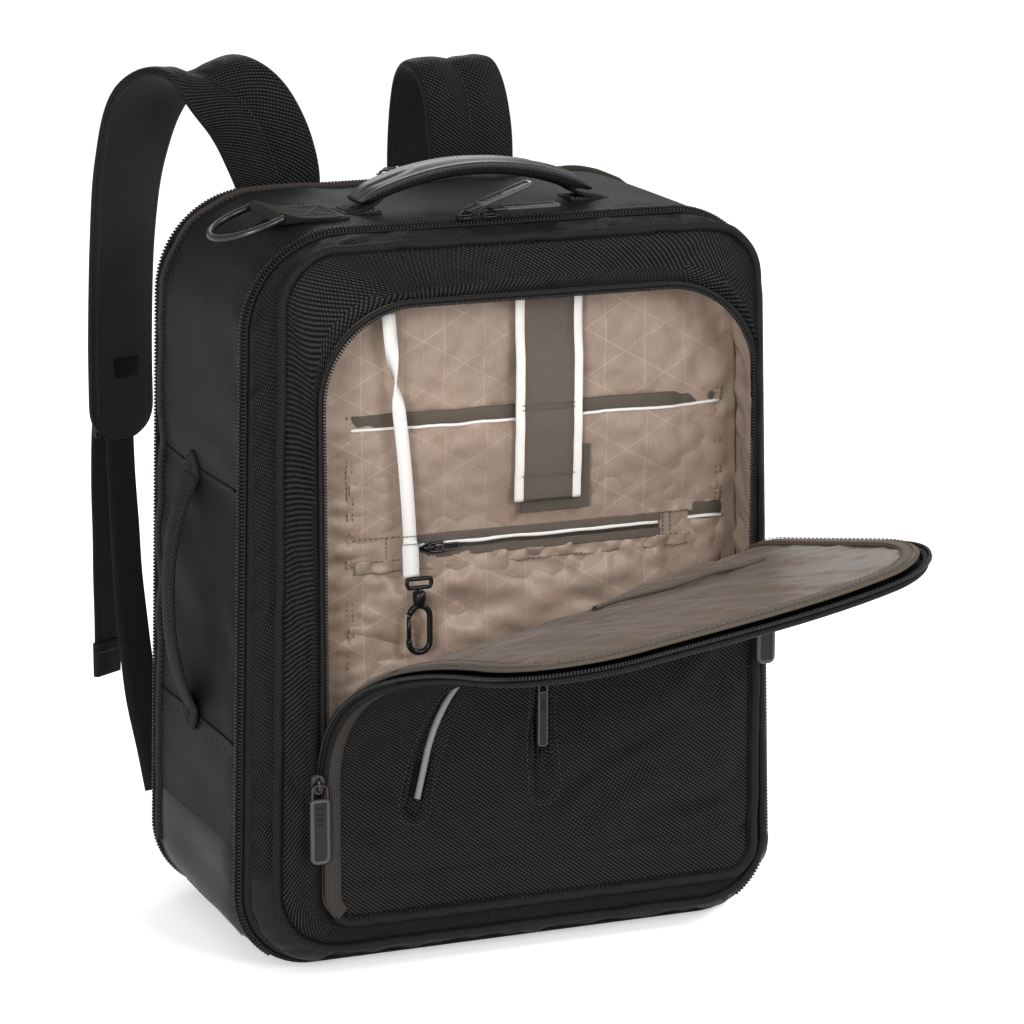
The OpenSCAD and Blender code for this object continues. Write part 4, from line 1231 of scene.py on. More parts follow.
# upright pocket openings below the fold
for k, (x0, lean, z0, z1, half) in enumerate(WELTS):
    zz = np.linspace(z0, z1 + 8, 40)
    xx = welt_x(x0, lean, zz)
    mid = folded(xx, zz, 1.4)
    track = sweep(f"welt_{k}_well", mid, same_for([1.0, 0, 0], mid), same_for([0, -1.0, 0], mid),
                  [(-half, -1.2), (half, -1.2), (half + 0.6, 0.3), (half / 2, 0.9), (-half / 2, 0.9),
                      (-half - 0.6, 0.3)], "plain")
    bend_over(track)
    a = np.radians(np.linspace(180, 360, 16))
    lip_w = half + 0.8
    ring_x = np.concatenate([xx[::-1] - lip_w, welt_x(x0, lean, z0) + lip_w * np.cos(a)[1:-1], xx + lip_w])
    ring_z = np.concatenate([zz[::-1], z0 + lip_w * np.sin(a)[1:-1], zz])
    lipw = tube(f"welt_{k}_lip", folded(ring_x, ring_z, 5.0 + 0 * ring_x), 1.5, "twill_back", up=TO_FRONT, n=8)
    bend_over(lipw)
    a2 = half + 4.6
    sx = np.concatenate([xx[::-1] - a2, welt_x(x0, lean, z0) + a2 * np.cos(a)[1:-1], xx + a2])
    sz = np.concatenate([zz[::-1], z0 + a2 * np.sin(a)[1:-1], zz])
    hh = panel_height(sx, sz) + 1.5
    bend_over(stitches(f"welt_{k}_stitching", folded(sx, sz, hh), TO_FRONT, "thread", None, 3.6, 2.5, 0.6))
    if k == 0:
        rod = folded(xx[2:] + 1.6, zz[2:], 3.6)
        bend_over(tube("welt_0_cord", rod + [0, -1.2, 0], 2.1, "trim", up=TO_FRONT, n=12))
    else:
        mid2 = folded(xx, zz, 2.6)
        for q in (-1, 1):
            bend_over(zipper(f"welt_1_teeth_{'l' if q < 0 else 'r'}", mid2 + [q * 1.4, 0, 0],
                same_for([0.0, -1.0, 0.0], mid2), same_for([-1.0 * q, 0, 0], mid2), None, pitch=1.8, w=2.0,
                h=1.3))

# ---------------------------------------------------------------- sliders and pulls


def flat_loop(w, z0, z1, r0, r1, i=0.0, n=9):
    """Rounded rectangle in x and z, w wide, corner radii r0 above and r1 below, inset by i."""
    pts = []
    for cx, cz, r, a0 in ((w / 2 - r0, z0 - r0, r0, 0), (-w / 2 + r0, z0 - r0, r0, 90),
            (-w / 2 + r1, z1 + r1, r1, 180), (w / 2 - r1, z1 + r1, r1, 270)):
        a = np.radians(a0 + np.linspace(0, 90, n))
        k = max(r - i, 0.15)
        over = max(i - r + 0.15, 0)
        sx, sz = np.sign(cx or 1), np.sign(cz - (z0 + z1) / 2)
        pts.append(stacked(cx - sx * over + k * np.cos(a), cz - sz * over + k * np.sin(a)))
    return np.concatenate(pts)


def pull(name, place, w, l, t, body):
    """Moulded grip with a raised glossy rim round a sunken middle, on a wire loop."""
    leg = max(w / 2 - 1.5, 2.8)
    half = t / 2
    inset = (3.6, 3.0, 2.4, 1.5, 0.6, 0.0, 0.0, 0.6, 1.5, 2.4, 3.0, 3.6)
    depth = (-half * 0.35, -half * 0.4, -half * 0.95, -half - 0.1, -half * 0.85, -half * 0.35)
    depth = depth + tuple(-d for d in depth[::-1])
    k = w / 13
    loops = [flat_loop(w, -8.0, -l, 2.6 * k, 4.6 * k, i * k) for i in inset]
    P = np.stack([at_y(p, y) for p, y in zip(loops, depth)])
    plate = grid(name, P, ["pull", "gloss"], body, loop_u=True, caps=True, matrix=place, index=lambda r,
        c: np.where((r > 1) & (r < 9), 1, 0))
    bake(plate, 1)
    a = np.radians(np.linspace(0, 180, 9))
    wire = [(leg, 0, -9)] + [(leg * 0.94 * math.cos(b), 0, -1.6 + 2.2 * math.sin(b)) for b in a] + [(-leg, 0, -9)]
    tube(f"{name}_wire", curve(wire, 4), 0.95, "metal", body, up=TO_REAR, n=8, matrix=place)
    ribs = [at_y(flat_loop(w * 0.3, -14 - i * 3.4 * k, -15 - i * 3.4 * k, 0.4, 0.4), -half * 0.4) for i in range(4)]
    for i, rib in enumerate(ribs):
        tube(f"{name}_rib_{i}", rib, 0.35 * k, "pull", body, closed=True, up=TO_REAR, n=6, matrix=place)
    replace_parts(plate, body)


def slider(name, place, w, l, t, body):
    """Cast zip slider: two plates with flared shoulders and a bridge for the pull."""
    def plate_loop(i):
        z = np.array([l / 2, l / 2, l * 0.18, -l / 2, -l / 2, l * 0.18])
        x = np.array([-0.3, 0.3, 0.5, 0.34, -0.34, -0.5]) * w
        c, s = np.array([x.mean(), z.mean()]), 1 - 2.4 * i / w
        return (stacked(x, z) - c) * s + c
    parts = []
    for k, (y0, y1) in enumerate(((-t, -t * 0.62), (-t * 0.36, 0.0))):
        loops = [at_y(plate_loop(i), y) for i, y in ((0.9, y0), (0.3, y0), (0, y0 + 0.25), (0, y1 - 0.25),
            (0.3, y1), (0.9, y1))]
        parts.append(bake(grid(f"{name}_plate_{k}", np.stack(loops), "metal", body, loop_u=True, caps=True,
            matrix=place), 1))
    post = at_y(flat_loop(w * 0.3, l * 0.4, l * 0.05, 0.5, 0.5), 0)
    parts.append(grid(f"{name}_post", np.stack([post + [0, -t * 0.7, 0], post + [0, -t * 0.2, 0]]), "metal",
        body, loop_u=True, caps=True, matrix=place))
    a = np.radians(np.linspace(0, 180, 11))
    arch = [(0, -t + 0.3 - (2.3 * math.sin(b) if 0 < i < 10 else 0), -4 * math.cos(b)) for i, b in enumerate(a)]
    parts.append(tube(f"{name}_bridge", arch, 0.85, "metal", body, up=(1, 0, 0), n=8, squash=1.5, matrix=place))
    main = join(name, parts)
    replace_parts(main, body)


TOP = turned("Z", 90) @ turned("X", -90)
for name, place, size in (
    ("front_slider_left", move(-139.5, -121.5, 127), (10, 14, 3.2)),
    ("front_slider_right", move(160.5, -121.5, 224), (10, 14, 3.2)),
    ("zip1_slider_a", move(-28, ZIP1_Y, SLIDER_TOP) @ TOP, (9, 13, 3)),
    ("zip1_slider_b", move(-12, ZIP1_Y, SLIDER_TOP) @ TOP, (9, 13, 3)),
    ("zip2_slider", move(-16, ZIP2_Y, SLIDER_TOP) @ TOP, (9, 13, 3)),
    ("welt_slider", move(8, -122.3, 180), (7, 10, 2)),
    ("zip_pocket_slider", move(-52, -83.7, 260) @ turned("Y", 90), (7, 9, 1.6)),
):
    slider(f"{name}_body", place, *size, name)
for name, place, size in (
    ("front_pull_left", move(-139.5, -126.8, 127), (13, 50, 2.8)),
    ("front_pull_right", move(160.5, -126.8, 224), (13, 50, 2.8)),
    ("zip1_pull_a", move(-28, ZIP1_Y, PIN_TOP) @ turned("Y", -109) @ turned("Z", 90), (13, 46, 2.6)),
    ("zip1_pull_b", move(-12, ZIP1_Y, PIN_TOP) @ turned("Y", -90) @ turned("Z", 90), (13, 46, 2.6)),
    ("zip2_pull", move(-16, ZIP2_Y, PIN_TOP) @ turned("Y", -90) @ turned("Z", 90), (13, 46, 2.6)),
    ("welt_pull", move(8, -126.4, 180), (7, 44, 2)),
    ("zip_pocket_pull", move(-52, -87.4, 260) @ turned("Y", -90), (5, 20, 1.4)),
):
    pull(f"{name}_grip", place, *size, name)

# ---------------------------------------------------------------- top handle, ring and side handle

lo, hi = (np.array(c) * 1000 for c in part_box("carry_handle"))
R, half_angle = 174.4, 26.7
cx, cy, cz = (lo[0] + hi[0]) / 2, (lo[1] + hi[1]) / 2, hi[2] - 177.9
a = np.linspace(-half_angle, half_angle, 73)
ra = np.radians(a)
C = stacked(cx + R * np.sin(ra), 0 * a + cy, cz + R * np.cos(ra))
U = stacked(np.sin(ra), 0 * a, np.cos(ra))
A = same_for([0.0, 1.0, 0.0], C)
near_end = smooth((half_angle - abs(a)) / 5)
wide = 13.6 + 2.6 * smooth((half_angle - abs(a)) / 13)
lens = np.clip(1 - ((a + 19.0) / 6.4) ** 2, 0, None) ** 0.5 + np.clip(1 - ((a - 19.0) / 6.4) ** 2, 0, None) ** 0.5
rows_ = []
for i in range(len(a)):
    w_, e = wide[i], 0.35 + 0.65 * near_end[i]
    top = []
    for f, h in ((-1, -0.6), (-1.02, 0.9), (-0.97, 2.1), (-0.88, 2.5), (-0.8, 2.1), (-0.68, 2.4), (-0.5, 3.2),
            (-0.34, 3.7), (-0.2, 3.95), (-0.08, 4.0),
                 (0.08, 4.0), (0.2, 3.95), (0.34, 3.7), (0.5, 3.2), (0.68, 2.4), (0.8, 2.1), (0.88, 2.5),
                 (0.97, 2.1), (1.02, 0.9), (1, -0.6)):
        dip = 1.3 * lens[i] * hump(abs(f), 0.33 * lens[i] + 0.02, 0.13) if lens[i] > 0 else 0
        top.append((f * w_, (h - dip) * e - (1 - e) * 1.2))
    low = [(0.96 * w_, -3.4), (0.8 * w_, -5.9), (0.38 * w_, -6.7), (0, -6.9), (-0.38 * w_, -6.7),
        (-0.8 * w_, -5.9), (-0.96 * w_, -3.4)]
    rows_.append(top + [(x, y * (0.45 + 0.55 * near_end[i])) for x, y in low])
handle = sweep("carry_handle_grip", C, A, U, np.array(rows_), ["rubber", "webbing"], "carry_handle",
    index=lambda r, c: np.where(c >= 19, 1, 0))
bake(handle, 1)
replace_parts(handle, "carry_handle")
for side in (-1, 1):
    k = slice(3, -3)
    edge = C[k] + A[k] * (side * wide[k, None] * 1.0) + U[k] * -0.9
    stitches(f"carry_handle_stitching_{'b' if side > 0 else 'f'}", edge, A[k] * side, "thread", "carry_handle",
        3.4, 2.3, 0.6)
# webbing feet that hold the handle to the bag
feet = []
for side in (-1, 1):
    x0 = cx + side * 76
    path = curve([(x0 + side * 9, cy, 465.6), (x0 + side * 4, cy, 466.4), (x0 - side * 3, cy, 467.6),
        (x0 - side * 9, cy, 470.6), (x0 - side * 13, cy, 473.6)], 6)
    run = unit(np.gradient(path, axis=0))
    across = same_for([0.0, 1.0, 0.0], path)
    sweep(f"handle_foot_{'left' if side < 0 else 'right'}", path, across, np.cross(run, across),
        [(-11.5, -0.9), (11.5, -0.9), (12, 0), (11.5, 0.9), (-11.5, 0.9), (-12, 0)], "webbing", "bag")
    feet.append(soft_box(f"handle_foot_pad_{side}", (x0 - 13, cy - 12, 464.2), (x0 + 13, cy + 12, 465.9), 0.7,
        "tab", "bag"))
    square = [(x0 + sx * 10.5, cy + sy * 9.5, 465.9) for sx, sy in ((-1, -1), (1, -1), (1, 1), (-1, 1))]
    stitches(f"handle_foot_stitching_{'left' if side < 0 else 'right'}", square, TO_TOP, "thread_grey", "bag",
        2.8, 2.0, 0.6, closed=True)

# D-ring on its folded tab
a = np.radians(np.linspace(90, 270, 25))
ring = [(0, y, 0) for y in np.linspace(-27, 27, 9)] + [(-1.2, 28.1, 0),
    (-5, 28.25, 0)] + [(-10 + 28.25 * math.cos(b), 28.25 * math.sin(b), 0) for b in a] + [(-5, -28.25, 0),
    (-1.2, -28.1, 0)]
ring_place = move(-139, -41, 468.5) @ turned("Y", -20)
d = tube("d_ring_wire", ring, 2.25, "metal", "d_ring", closed=True, n=14, up=TO_TOP, matrix=ring_place)
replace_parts(d, "d_ring")
a = np.radians(np.linspace(-90, -270, 13))
outer = [(-94, 464.5), (-106, 464.6), (-120, 464.6),
    (-131, 464.7)] + [(-139 + 4.1 * math.cos(b), 468.5 + 4.1 * math.sin(b)) for b in a] + [(-132, 469.6),
    (-122, 467.5), (-108, 467.1), (-95, 467.0), (-94, 466.4)]
ys = np.linspace(-67, -15, 25)
P = np.array([[(x, y, z + 0.25 * math.sin(y / 3.1) * (z > 466.8)) for x, z in outer] for y in ys])
tab = bake(grid("d_ring_tab_webbing", P, "tab", "bag", loop_u=True, caps=True), 1)
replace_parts(tab, "d_ring_tab")
box = np.array([(-126, -63, 467.6), (-98, -63, 467.2), (-98, -19, 467.2), (-126, -19, 467.6)])
for k, path in enumerate((np.concatenate([box, box[:1]]), box[[0, 2]], box[[1, 3]])):
    stitches(f"d_ring_tab_stitching_{k}", path, TO_TOP, "thread_grey", "bag", 3.0, 2.2, 0.6)

# side handle: soft band, folded to a point where it goes under the seams
t = np.linspace(-1, 1, 61)
z = 224.5 + 76 * t
wall_x = -182 + 0.0257 * (z - 50)
bow = 15.5 * (1 - abs(t) ** 2.3) + 1.2
C = stacked(wall_x - bow, 0.6 * np.sin(t * 3), z)
run = unit(np.gradient(C, axis=0))
across = same_for([0.0, 1.0, 0.0], C)
U = np.cross(run, across)
U = U * np.sign(-U[:, :1])
half = 13.6 - 3.4 * (1 - abs(t) ** 2) ** 1.5
S = np.stack([[(-w_, -1.2), (-w_ - 0.5, 0.2), (-w_ + 0.8, 1.5), (-w_ * 0.5, 1.9 + q), (0, 2.1 + q),
    (w_ * 0.5, 1.9 + q), (w_ - 0.8, 1.5), (w_ + 0.5, 0.2), (w_, -1.2), (w_ * 0.4, -1.5), (-w_ * 0.4, -1.5)]
              for w_, q in zip(half, 1.0 * (1 - abs(t) ** 2))])
band = bake(sweep("side_handle_band", C, across, U, S, "webbing", "side_handle"), 1)
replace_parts(band, "side_handle")
for side in (-1, 1):
    edge = C + across * (side * (half - 2.2))[:, None] + U * 1.55
    stitches(f"side_handle_stitching_{'b' if side > 0 else 'f'}", edge[2:-2], U[2:-2], "thread", "side_handle",
        3.4, 2.4, 0.6)
for k, (z0, way) in enumerate(((303.0, 1), (146.0, -1))):
    x0 = -182 + 0.0257 * (z0 - 50)
    wedge = np.array([(-13.8, -10), (-14.4, 0), (-10, 8.5), (0, 13.2), (10, 8.5), (14.4, 0), (13.8, -10)])
    outline_ = np.array([(y, z0 + way * v) for y, v in wedge])
    c_ = outline_.mean(0)
    loops = [(outline_ - c_) * s + c_ for s in (0.2, 0.8, 1.0, 1.03, 1.0)]
    P = np.stack([[(x0 + x, y, z) for y, z in loop] for loop, x in zip(loops, (-3.0, -2.9, -2.5, -1.6, -0.1))])
    piece = bake(grid(f"side_handle_end_{k}", P, "webbing", "bag", loop_u=True, caps=True), 1)
    feet.append(piece)
    path = [(x0 - 2.9, y * 0.8, z0 + way * v * 0.8) for y, v in wedge[1:-1]]
    stitches(f"side_handle_end_stitching_{k}", path, (-1, 0, 0), "thread", "bag", 3.0, 2.2, 0.6)
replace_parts(join("handle_feet", feet), "handle_patches")

# ---------------------------------------------------------------- shoulder straps and their webbing


def route_frame(route, n):
    """Centres, across and up directions and distances along a route of (x, y, z, turn)."""
    p = curve(route, 24)
    d = np.concatenate([[0], np.cumsum(np.linalg.norm(np.diff(p[:, :3], axis=0), axis=1))])
    s = np.linspace(0, d[-1], n)
    p = np.stack([np.interp(s, d, p[:, k]) for k in range(4)], -1)
    run = unit(np.gradient(p[:, :3], axis=0))
    turn = np.radians(p[:, 3])
    side = stacked(np.cos(turn), np.sin(turn), 0 * turn)
    across = unit(side - run * (run * side).sum(1, keepdims=True))
    return p[:, :3], across, np.cross(run, across), s


STRAPS = {
    "left": ([[-77, 120.4, 431, 0], [-79, 119.8, 468, -4], [-97, 127, 510, -10], [-124, 148, 528, -4],
        [-147, 170, 514, 12],
              [-158, 182, 472, 24], [-163, 187, 420, 30], [-166, 187, 356, 31], [-167, 185, 306, 31],
              [-167, 183, 284, 31]],
             [[-169, 183, 296, 30], [-170, 181, 279, 30], [-170, 176, 240, 28], [-170, 166, 180, 24],
                 [-168, 150, 120, 16], [-165, 126, 76, 6], [-164, 117, 60, 0]],
             [[-173, 196, 316, 30], [-177, 193, 276, 30], [-178, 191, 220, 30], [-179, 190, 160, 34],
                 [-180, 189, 122, 38]], (-170.5, 192.6, 300, 31)),
    "right": ([[58, 120.4, 431, 0], [58, 119.8, 468, 0], [56, 127, 510, 4], [54, 148, 528, 0],
        [53, 170, 516, -6], [54, 184, 472, -10],
               [57, 190, 420, -12], [64, 192, 356, -14], [76, 190, 306, -16], [82, 189, 284, -18]],
              [[82, 188, 296, -18], [86, 187, 279, -18], [98, 180, 240, -18], [118, 168, 180, -14],
                  [140, 150, 120, -8], [160, 126, 76, 0], [164, 117, 60, 0]],
              [[84, 201, 316, -18], [92, 198, 276, -18], [98, 195, 220, -18], [106, 192, 160, -14],
                  [112, 190, 122, -10]], (83, 198.6, 300, -18)),
}
for tag, (route, web, tail, lock) in STRAPS.items():
    body = f"strap_{tag}"
    C, A, U, s = route_frame(route, 150)
    long = s[-1]
    q = np.linspace(-1, 1, 29)
    lobes = 1.7 + 3.9 * np.sin(math.pi * (abs(q) * 28 + 1.2) / 31) ** 0.62
    crown = 2.0 + 2.9 * (1 - q**4)
    from_end = long - s
    width = 29 * np.clip(1 - np.clip(1 - from_end / 24, 0, 1) ** 2.6, 0.0, 1) ** 0.5 * (0.9 + 0.1 * smooth(s / 60))
    width = np.maximum(width, 9.0)
    full = (0.42 + 0.58 * smooth((s - 4) / 40)) * (0.5 + 0.5 * smooth(from_end / 26))
    seed = 201 if tag == "left" else 202
    S = []
    for i in range(len(C)):
        at = stacked(q * 28, np.full_like(q, s[i]))
        dent = 0.45 * ripple(at, 42, seed) + 0.25 * ripple(at, 15, seed + 5, 1)
        squeeze = 0.9 * hump(s[i] % 1000, 0, 3)
        front_side = [(a * width[i], -(h + dd * (1 - a * a)) * full[i] + squeeze) for a, h, dd in zip(q, lobes, dent)]
        lip = [(width[i] * 1.035, -1.3 * full[i]), (width[i] * 1.045, 0.4), (width[i] * 1.03, 1.5 * full[i])]
        inner = [(a * width[i] * 0.985, h * full[i]) for a, h in zip(q[::-1], crown)]
        S.append(front_side + lip + inner + [(-x, y) for x, y in lip[::-1]])
    piece = sweep(f"{body}_padding", C, A, U, np.array(S), ["twill", "air", "piping"], body,
                  index=lambda r, c: np.where(c < 28, 0, np.where(c < 32, 2, np.where(c < 60, 1, 2))))
    bake(piece, 1)
    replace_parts(piece, body)
    k = slice(10, -8)
    stitches(f"{body}_centre_stitching", C[k] - U[k] * (3.0 * full[k])[:, None], -U[k], "thread", body, 3.4, 2.4, 0.7)
    for side in (-1, 1):
        where = C[k] + A[k] * (side * width[k] * 0.9)[:, None] - U[k] * (3.15 * full[k])[:, None]
        stitches(f"{body}_edge_stitching_{'b' if side > 0 else 'a'}", where, -U[k], "thread", body, 3.4, 2.4, 0.6)
        where = C[k] + A[k] * (side * width[k] * 0.9)[:, None] + U[k] * (3.1 * full[k])[:, None]
        stitches(f"{body}_lining_stitching_{'b' if side > 0 else 'a'}", where, U[k], "thread", body, 3.4, 2.4, 0.6)
    # webbing that the padding carries on its outer side down to the buckle
    k = np.flatnonzero((from_end < 92) & (from_end > 3))
    half = np.full(len(k), 12.5)
    sweep(f"{body}_webbing", C[k], A[k], U[k],
        np.stack([[(-h, -5.6 * f - 1.2), (h, -5.6 * f - 1.2), (h + 0.4, -5.6 * f - 0.2), (h, -5.0 * f),
        (-h, -5.0 * f), (-h - 0.4, -5.6 * f - 0.2)]
                                                                 for h, f in zip(half, full[k])]), "webbing", body)
    j = k[(from_end[k] > 55) & (from_end[k] < 86)]
    corners = [C[j[0]] + A[j[0]] * 10, C[j[0]] - A[j[0]] * 10, C[j[-1]] - A[j[-1]] * 10, C[j[-1]] + A[j[-1]] * 10]
    rise = [-U[j[0]] * 6.9, -U[j[0]] * 6.9, -U[j[-1]] * 6.9, -U[j[-1]] * 6.9]
    stitches(f"{body}_bar_tack", np.array(corners) + np.array(rise), -U[j[0]], "thread_grey", body, 2.8, 2.0,
        0.6, closed=True)
    if tag == "left":
        m = np.flatnonzero((from_end > 42) & (from_end < 57))
        P = np.stack([C[i] + A[i] * a * (10.5 + 3.5 * (from_end[i] - 42) / 15) + U[i]
            * (5.3 * full[i] + 0.5 * (1 - abs(a) ** 4)) for i in m for a in np.linspace(-1, 1, 9)]).reshape(
            len(m), 9, 3)
        bake(grid("strap_left_patch", P, "plain", body), 1, 0.5, 1.0)
    for which, path, w_, thick, rider in (("web", web, 12.5, 0.9, f"web_{tag}"), ("tail", tail, 12.5, 0.8, body)):
        c, a_, u_, d_ = route_frame(path, 60)
        edge_roll = 1.0 + 0.012 * np.sin(d_ / 9.0)
        S = np.array([[(-w_ * e, -thick), (-w_ * 0.5, -thick * 1.06), (w_ * 0.5, -thick * 1.06),
            (w_ * e, -thick), (w_ * e + 0.35, 0), (w_ * e, thick), (w_ * 0.5, thick * 1.06),
            (-w_ * 0.5, thick * 1.06), (-w_ * e, thick), (-w_ * e - 0.35, 0)] for e in edge_roll])
        cloth_band = sweep(f"{which}_{tag}_webbing", c, a_, u_, S, "webbing", rider)
        if which == "web":
            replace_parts(cloth_band, f"web_{tag}")
        else:
            hem = sweep(f"tail_{tag}_hem", c[-8:], a_[-8:], u_[-8:],
                [(-13, -1.9), (13, -1.9), (13.3, 0), (13, 1.9), (-13, 1.9), (-13.3, 0)], "webbing", rider)
            fold_line = c[-6] + np.array([-1, 1])[:, None] * a_[-6] * 11
            sewn = stitches(f"tail_{tag}_hem_stitching", fold_line - u_[-6] * 1.9, -u_[-6], "thread_grey",
                rider, 2.6, 1.9, 0.6)
            sewn2 = stitches(f"tail_{tag}_hem_stitching_rear", fold_line + u_[-6] * 1.9, u_[-6], "thread_grey",
                rider, 2.6, 1.9, 0.6)
    # buckle
    place = move(*lock[:3]) @ turned("Z", lock[3])
    rider = f"ladder_lock_{tag}"
    parts = [soft_box(f"{rider}_s{k}", (x0, 0.2, -15), (x1, 4.8, 15), 1.3, "plastic", rider, place) for k,
        (x0, x1) in enumerate(((-17, -13), (13, 17)))]
    parts += [soft_box(f"{rider}_b{k}", (-14, y0, z0), (14, y1, z1), 1.2, "plastic", rider, place) for k,
        (y0, y1, z0, z1) in enumerate(((0.4, 4.6, 10.5, 15), (0.9, 4.1, -3.5, 3.5), (0.2, 4.8, -15, -10.5)))]
    parts += [soft_box(f"{rider}_g{k}", (-11.5, 4.4, -14.3 + k * 1.5), (11.5, 5.1, -13.7 + k * 1.5), 0.25,
        "plastic", rider, place, 1) for k in range(3)]
    buckle = join(f"{rider}_frame", parts)
    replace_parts(buckle, rider)

# where straps and webbing are sewn to the back
fixings = []
for x0 in (-77, 58):
    P = []
    for z0, y in zip(np.linspace(412, 446, 9), (110.3, 111.6, 112.4, 112.7, 112.8, 112.7, 112.4, 111.6, 110.3)):
        P.append([(x0 + 31.5 * q, y - 0.9 * q**6, z0) for q in np.linspace(-1, 1, 17)])
    fixings.append(bake(grid(f"strap_fixing_{x0}", np.array(P), "webbing", "back_module"), 1, 0.8, 1.0))
    for z0 in (417, 428, 440):
        stitches(f"strap_fixing_stitching_{'l' if x0 < 0 else 'r'}_{z0}",
            [(x0 - 28, 112.75, z0), (x0 + 28, 112.75, z0)], TO_REAR, "thread_grey", "back_module", 3.0, 2.1,
            0.6)
for sx in (-1, 1):
    quad = np.array([[sx * 134.5, 44.5], [sx * 160.5, 50.0], [sx * 160.5, 70.0], [sx * 134.5, 76.0]])
    mid_ = quad.mean(0)
    loops = [at_y((quad - mid_) * f + mid_, y) for f, y in ((0.3, 112.3), (0.85, 112.2), (0.97, 111.8),
        (1.0, 111.0), (0.98, 110.1))]
    fixings.append(bake(grid(f"lower_tab_{sx}", np.stack(loops), "twill", "back_module", loop_u=True, caps=True), 1))
    stitches(f"lower_tab_stitching_{'l' if sx < 0 else 'r'}", at_y((quad - mid_) * 0.8 + mid_, 112.2), TO_REAR,
        "thread", "back_module", 3.2, 2.3, 0.6, closed=True)
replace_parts(join("strap_fixing_patches", fixings), "strap_fixings")

# ---------------------------------------------------------------- back panel and its pads

edge_b = back_outline(0.4)
t_in = np.linspace(0, 1, 12)
centre_b = np.array([0.0, 234.0])
loops, heights = [], []
for f, y in ((1.0, 106.2), (1.004, 107.4), (1.0, 108.6), (0.992, 109.5), (0.98, 109.9), (0.962, 109.2),
        (0.945, 109.7), (0.9, 109.9), (0.8, 109.9), (0.7, 109.95), (0.6, 109.95), (0.5, 109.95), (0.4, 109.95),
        (0.3, 109.95), (0.2, 109.95), (0.1, 109.95), (0.02, 109.95)):
    loop = (edge_b - centre_b) * f + centre_b
    p = at_y(loop, y)
    if f < 0.94:
        p[:, 1] -= 0.55 + 0.5 * ripple(p[:, ::2], 60, 301)
    loops.append(p)
sheet_back = grid("back_sheet_cloth", np.stack(loops[::-1]), ["twill", "mesh", "piping"], "back_module", loop_u=True,
                  uv=np.stack(loops[::-1])[..., [0, 2]], index=lambda r,
                  c: np.where(r >= 13, 2, np.where(r >= 9, 0, 1)), caps=True)
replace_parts(sheet_back, "back_sheet")
stitches("back_sheet_stitching", at_y((edge_b - centre_b) * 0.965 + centre_b, 109.5), TO_REAR, "thread",
    "back_module", closed=True)


def inflate(obj, cap, voxel=0.005, pressure=4.0):
    """Swells a closed mesh with a cloth simulation, no point moving further than cap."""
    mod = obj.modifiers.new("voxels", "REMESH")
    mod.mode, mod.voxel_size = "VOXEL", voxel
    bake(obj)
    start = np.zeros(len(obj.data.vertices) * 3)
    obj.data.vertices.foreach_get("co", start)
    mod = obj.modifiers.new("air", "CLOTH")
    mod.settings.use_pressure = True
    mod.settings.uniform_pressure_force = pressure
    mod.settings.effector_weights.gravity = 0.0
    mod.point_cache.frame_start, mod.point_cache.frame_end = 1, 20
    for frame_no in range(1, 21):
        bpy.context.scene.frame_set(frame_no)
    bake(obj)
    bpy.context.scene.frame_set(1)
    end = np.zeros_like(start)
    obj.data.vertices.foreach_get("co", end)
    shift = (end - start).reshape(-1, 3)
    far = np.linalg.norm(shift, axis=1, keepdims=True)
    shift *= np.minimum(1, cap * MM / np.maximum(far, 1e-9))
    obj.data.vertices.foreach_set("co", (start.reshape(-1, 3) + shift).ravel())
    obj.data.update()
    return obj


def box_uv(obj):
    """UVs in metres from x and z."""
    me = obj.data
    layer = me.uv_layers.get("UVMap") or me.uv_layers.new(name="UVMap")
    co = np.zeros(len(me.vertices) * 3)
    me.vertices.foreach_get("co", co)
    co = co.reshape(-1, 3)
    idx = np.zeros(len(me.loops), dtype=np.int32)
    me.loops.foreach_get("vertex_index", idx)
    layer.data.foreach_set("uv", co[idx][:, [0, 2]].ravel())


def back_pad(name, x0, x1, z0, z1, r, channels):
    loop = flat_loop(x1 - x0, (z1 - z0) / 2, -(z1 - z0) / 2, r, r, n=8)
    loop = loop + [(x0 + x1) / 2, (z0 + z1) / 2]
    c = loop.mean(0)
    rows_p = [at_y((loop - c) * f + c, y) for f, y in ((0.12, 110.4), (0.6, 110.3), (0.96, 110.3),
        (0.985, 111.6), (0.965, 114.0), (0.9, 115.6), (0.75, 116.2), (0.5, 116.4), (0.12, 116.4))]
    pad = grid(name, np.stack(rows_p), "mesh", "back_module", loop_u=True, caps=True)
    bake(pad, 1)
    inflate(pad, 2.2)
    bake(pad, 1)
    me = pad.data
    co = np.zeros(len(me.vertices) * 3)
    me.vertices.foreach_get("co", co)
    co = co.reshape(-1, 3) / MM
    over = smooth((co[:, 1] - 112.0) / 3)
    for axis, at_ in channels:
        co[:, 1] -= 2.6 * over * hump(co[:, 0 if axis == "x" else 2], at_, 3.2)
    co[:, 1] = np.clip(co[:, 1], 110.1, 118.4)
    me.vertices.foreach_set("co", (co * MM).ravel())
    me.update()
    box_uv(pad)
    for k, (axis, at_) in enumerate(channels):
        line = [(at_, 114.2, z0 + 12), (at_, 114.2, z1 - 12)] if axis == "x" else [(x0 + 12, 114.2, at_),
            (x1 - 12, 114.2, at_)]
        stitches(f"{name}_channel_{k}", line, TO_REAR, "thread", "back_module", 3.6, 2.6, 0.7)
    tube(f"{name}_welt", at_y((loop - c) * 0.992 + c, 110.9), 1.1, "piping", "back_module", closed=True,
        up=TO_REAR, n=8)
    return pad


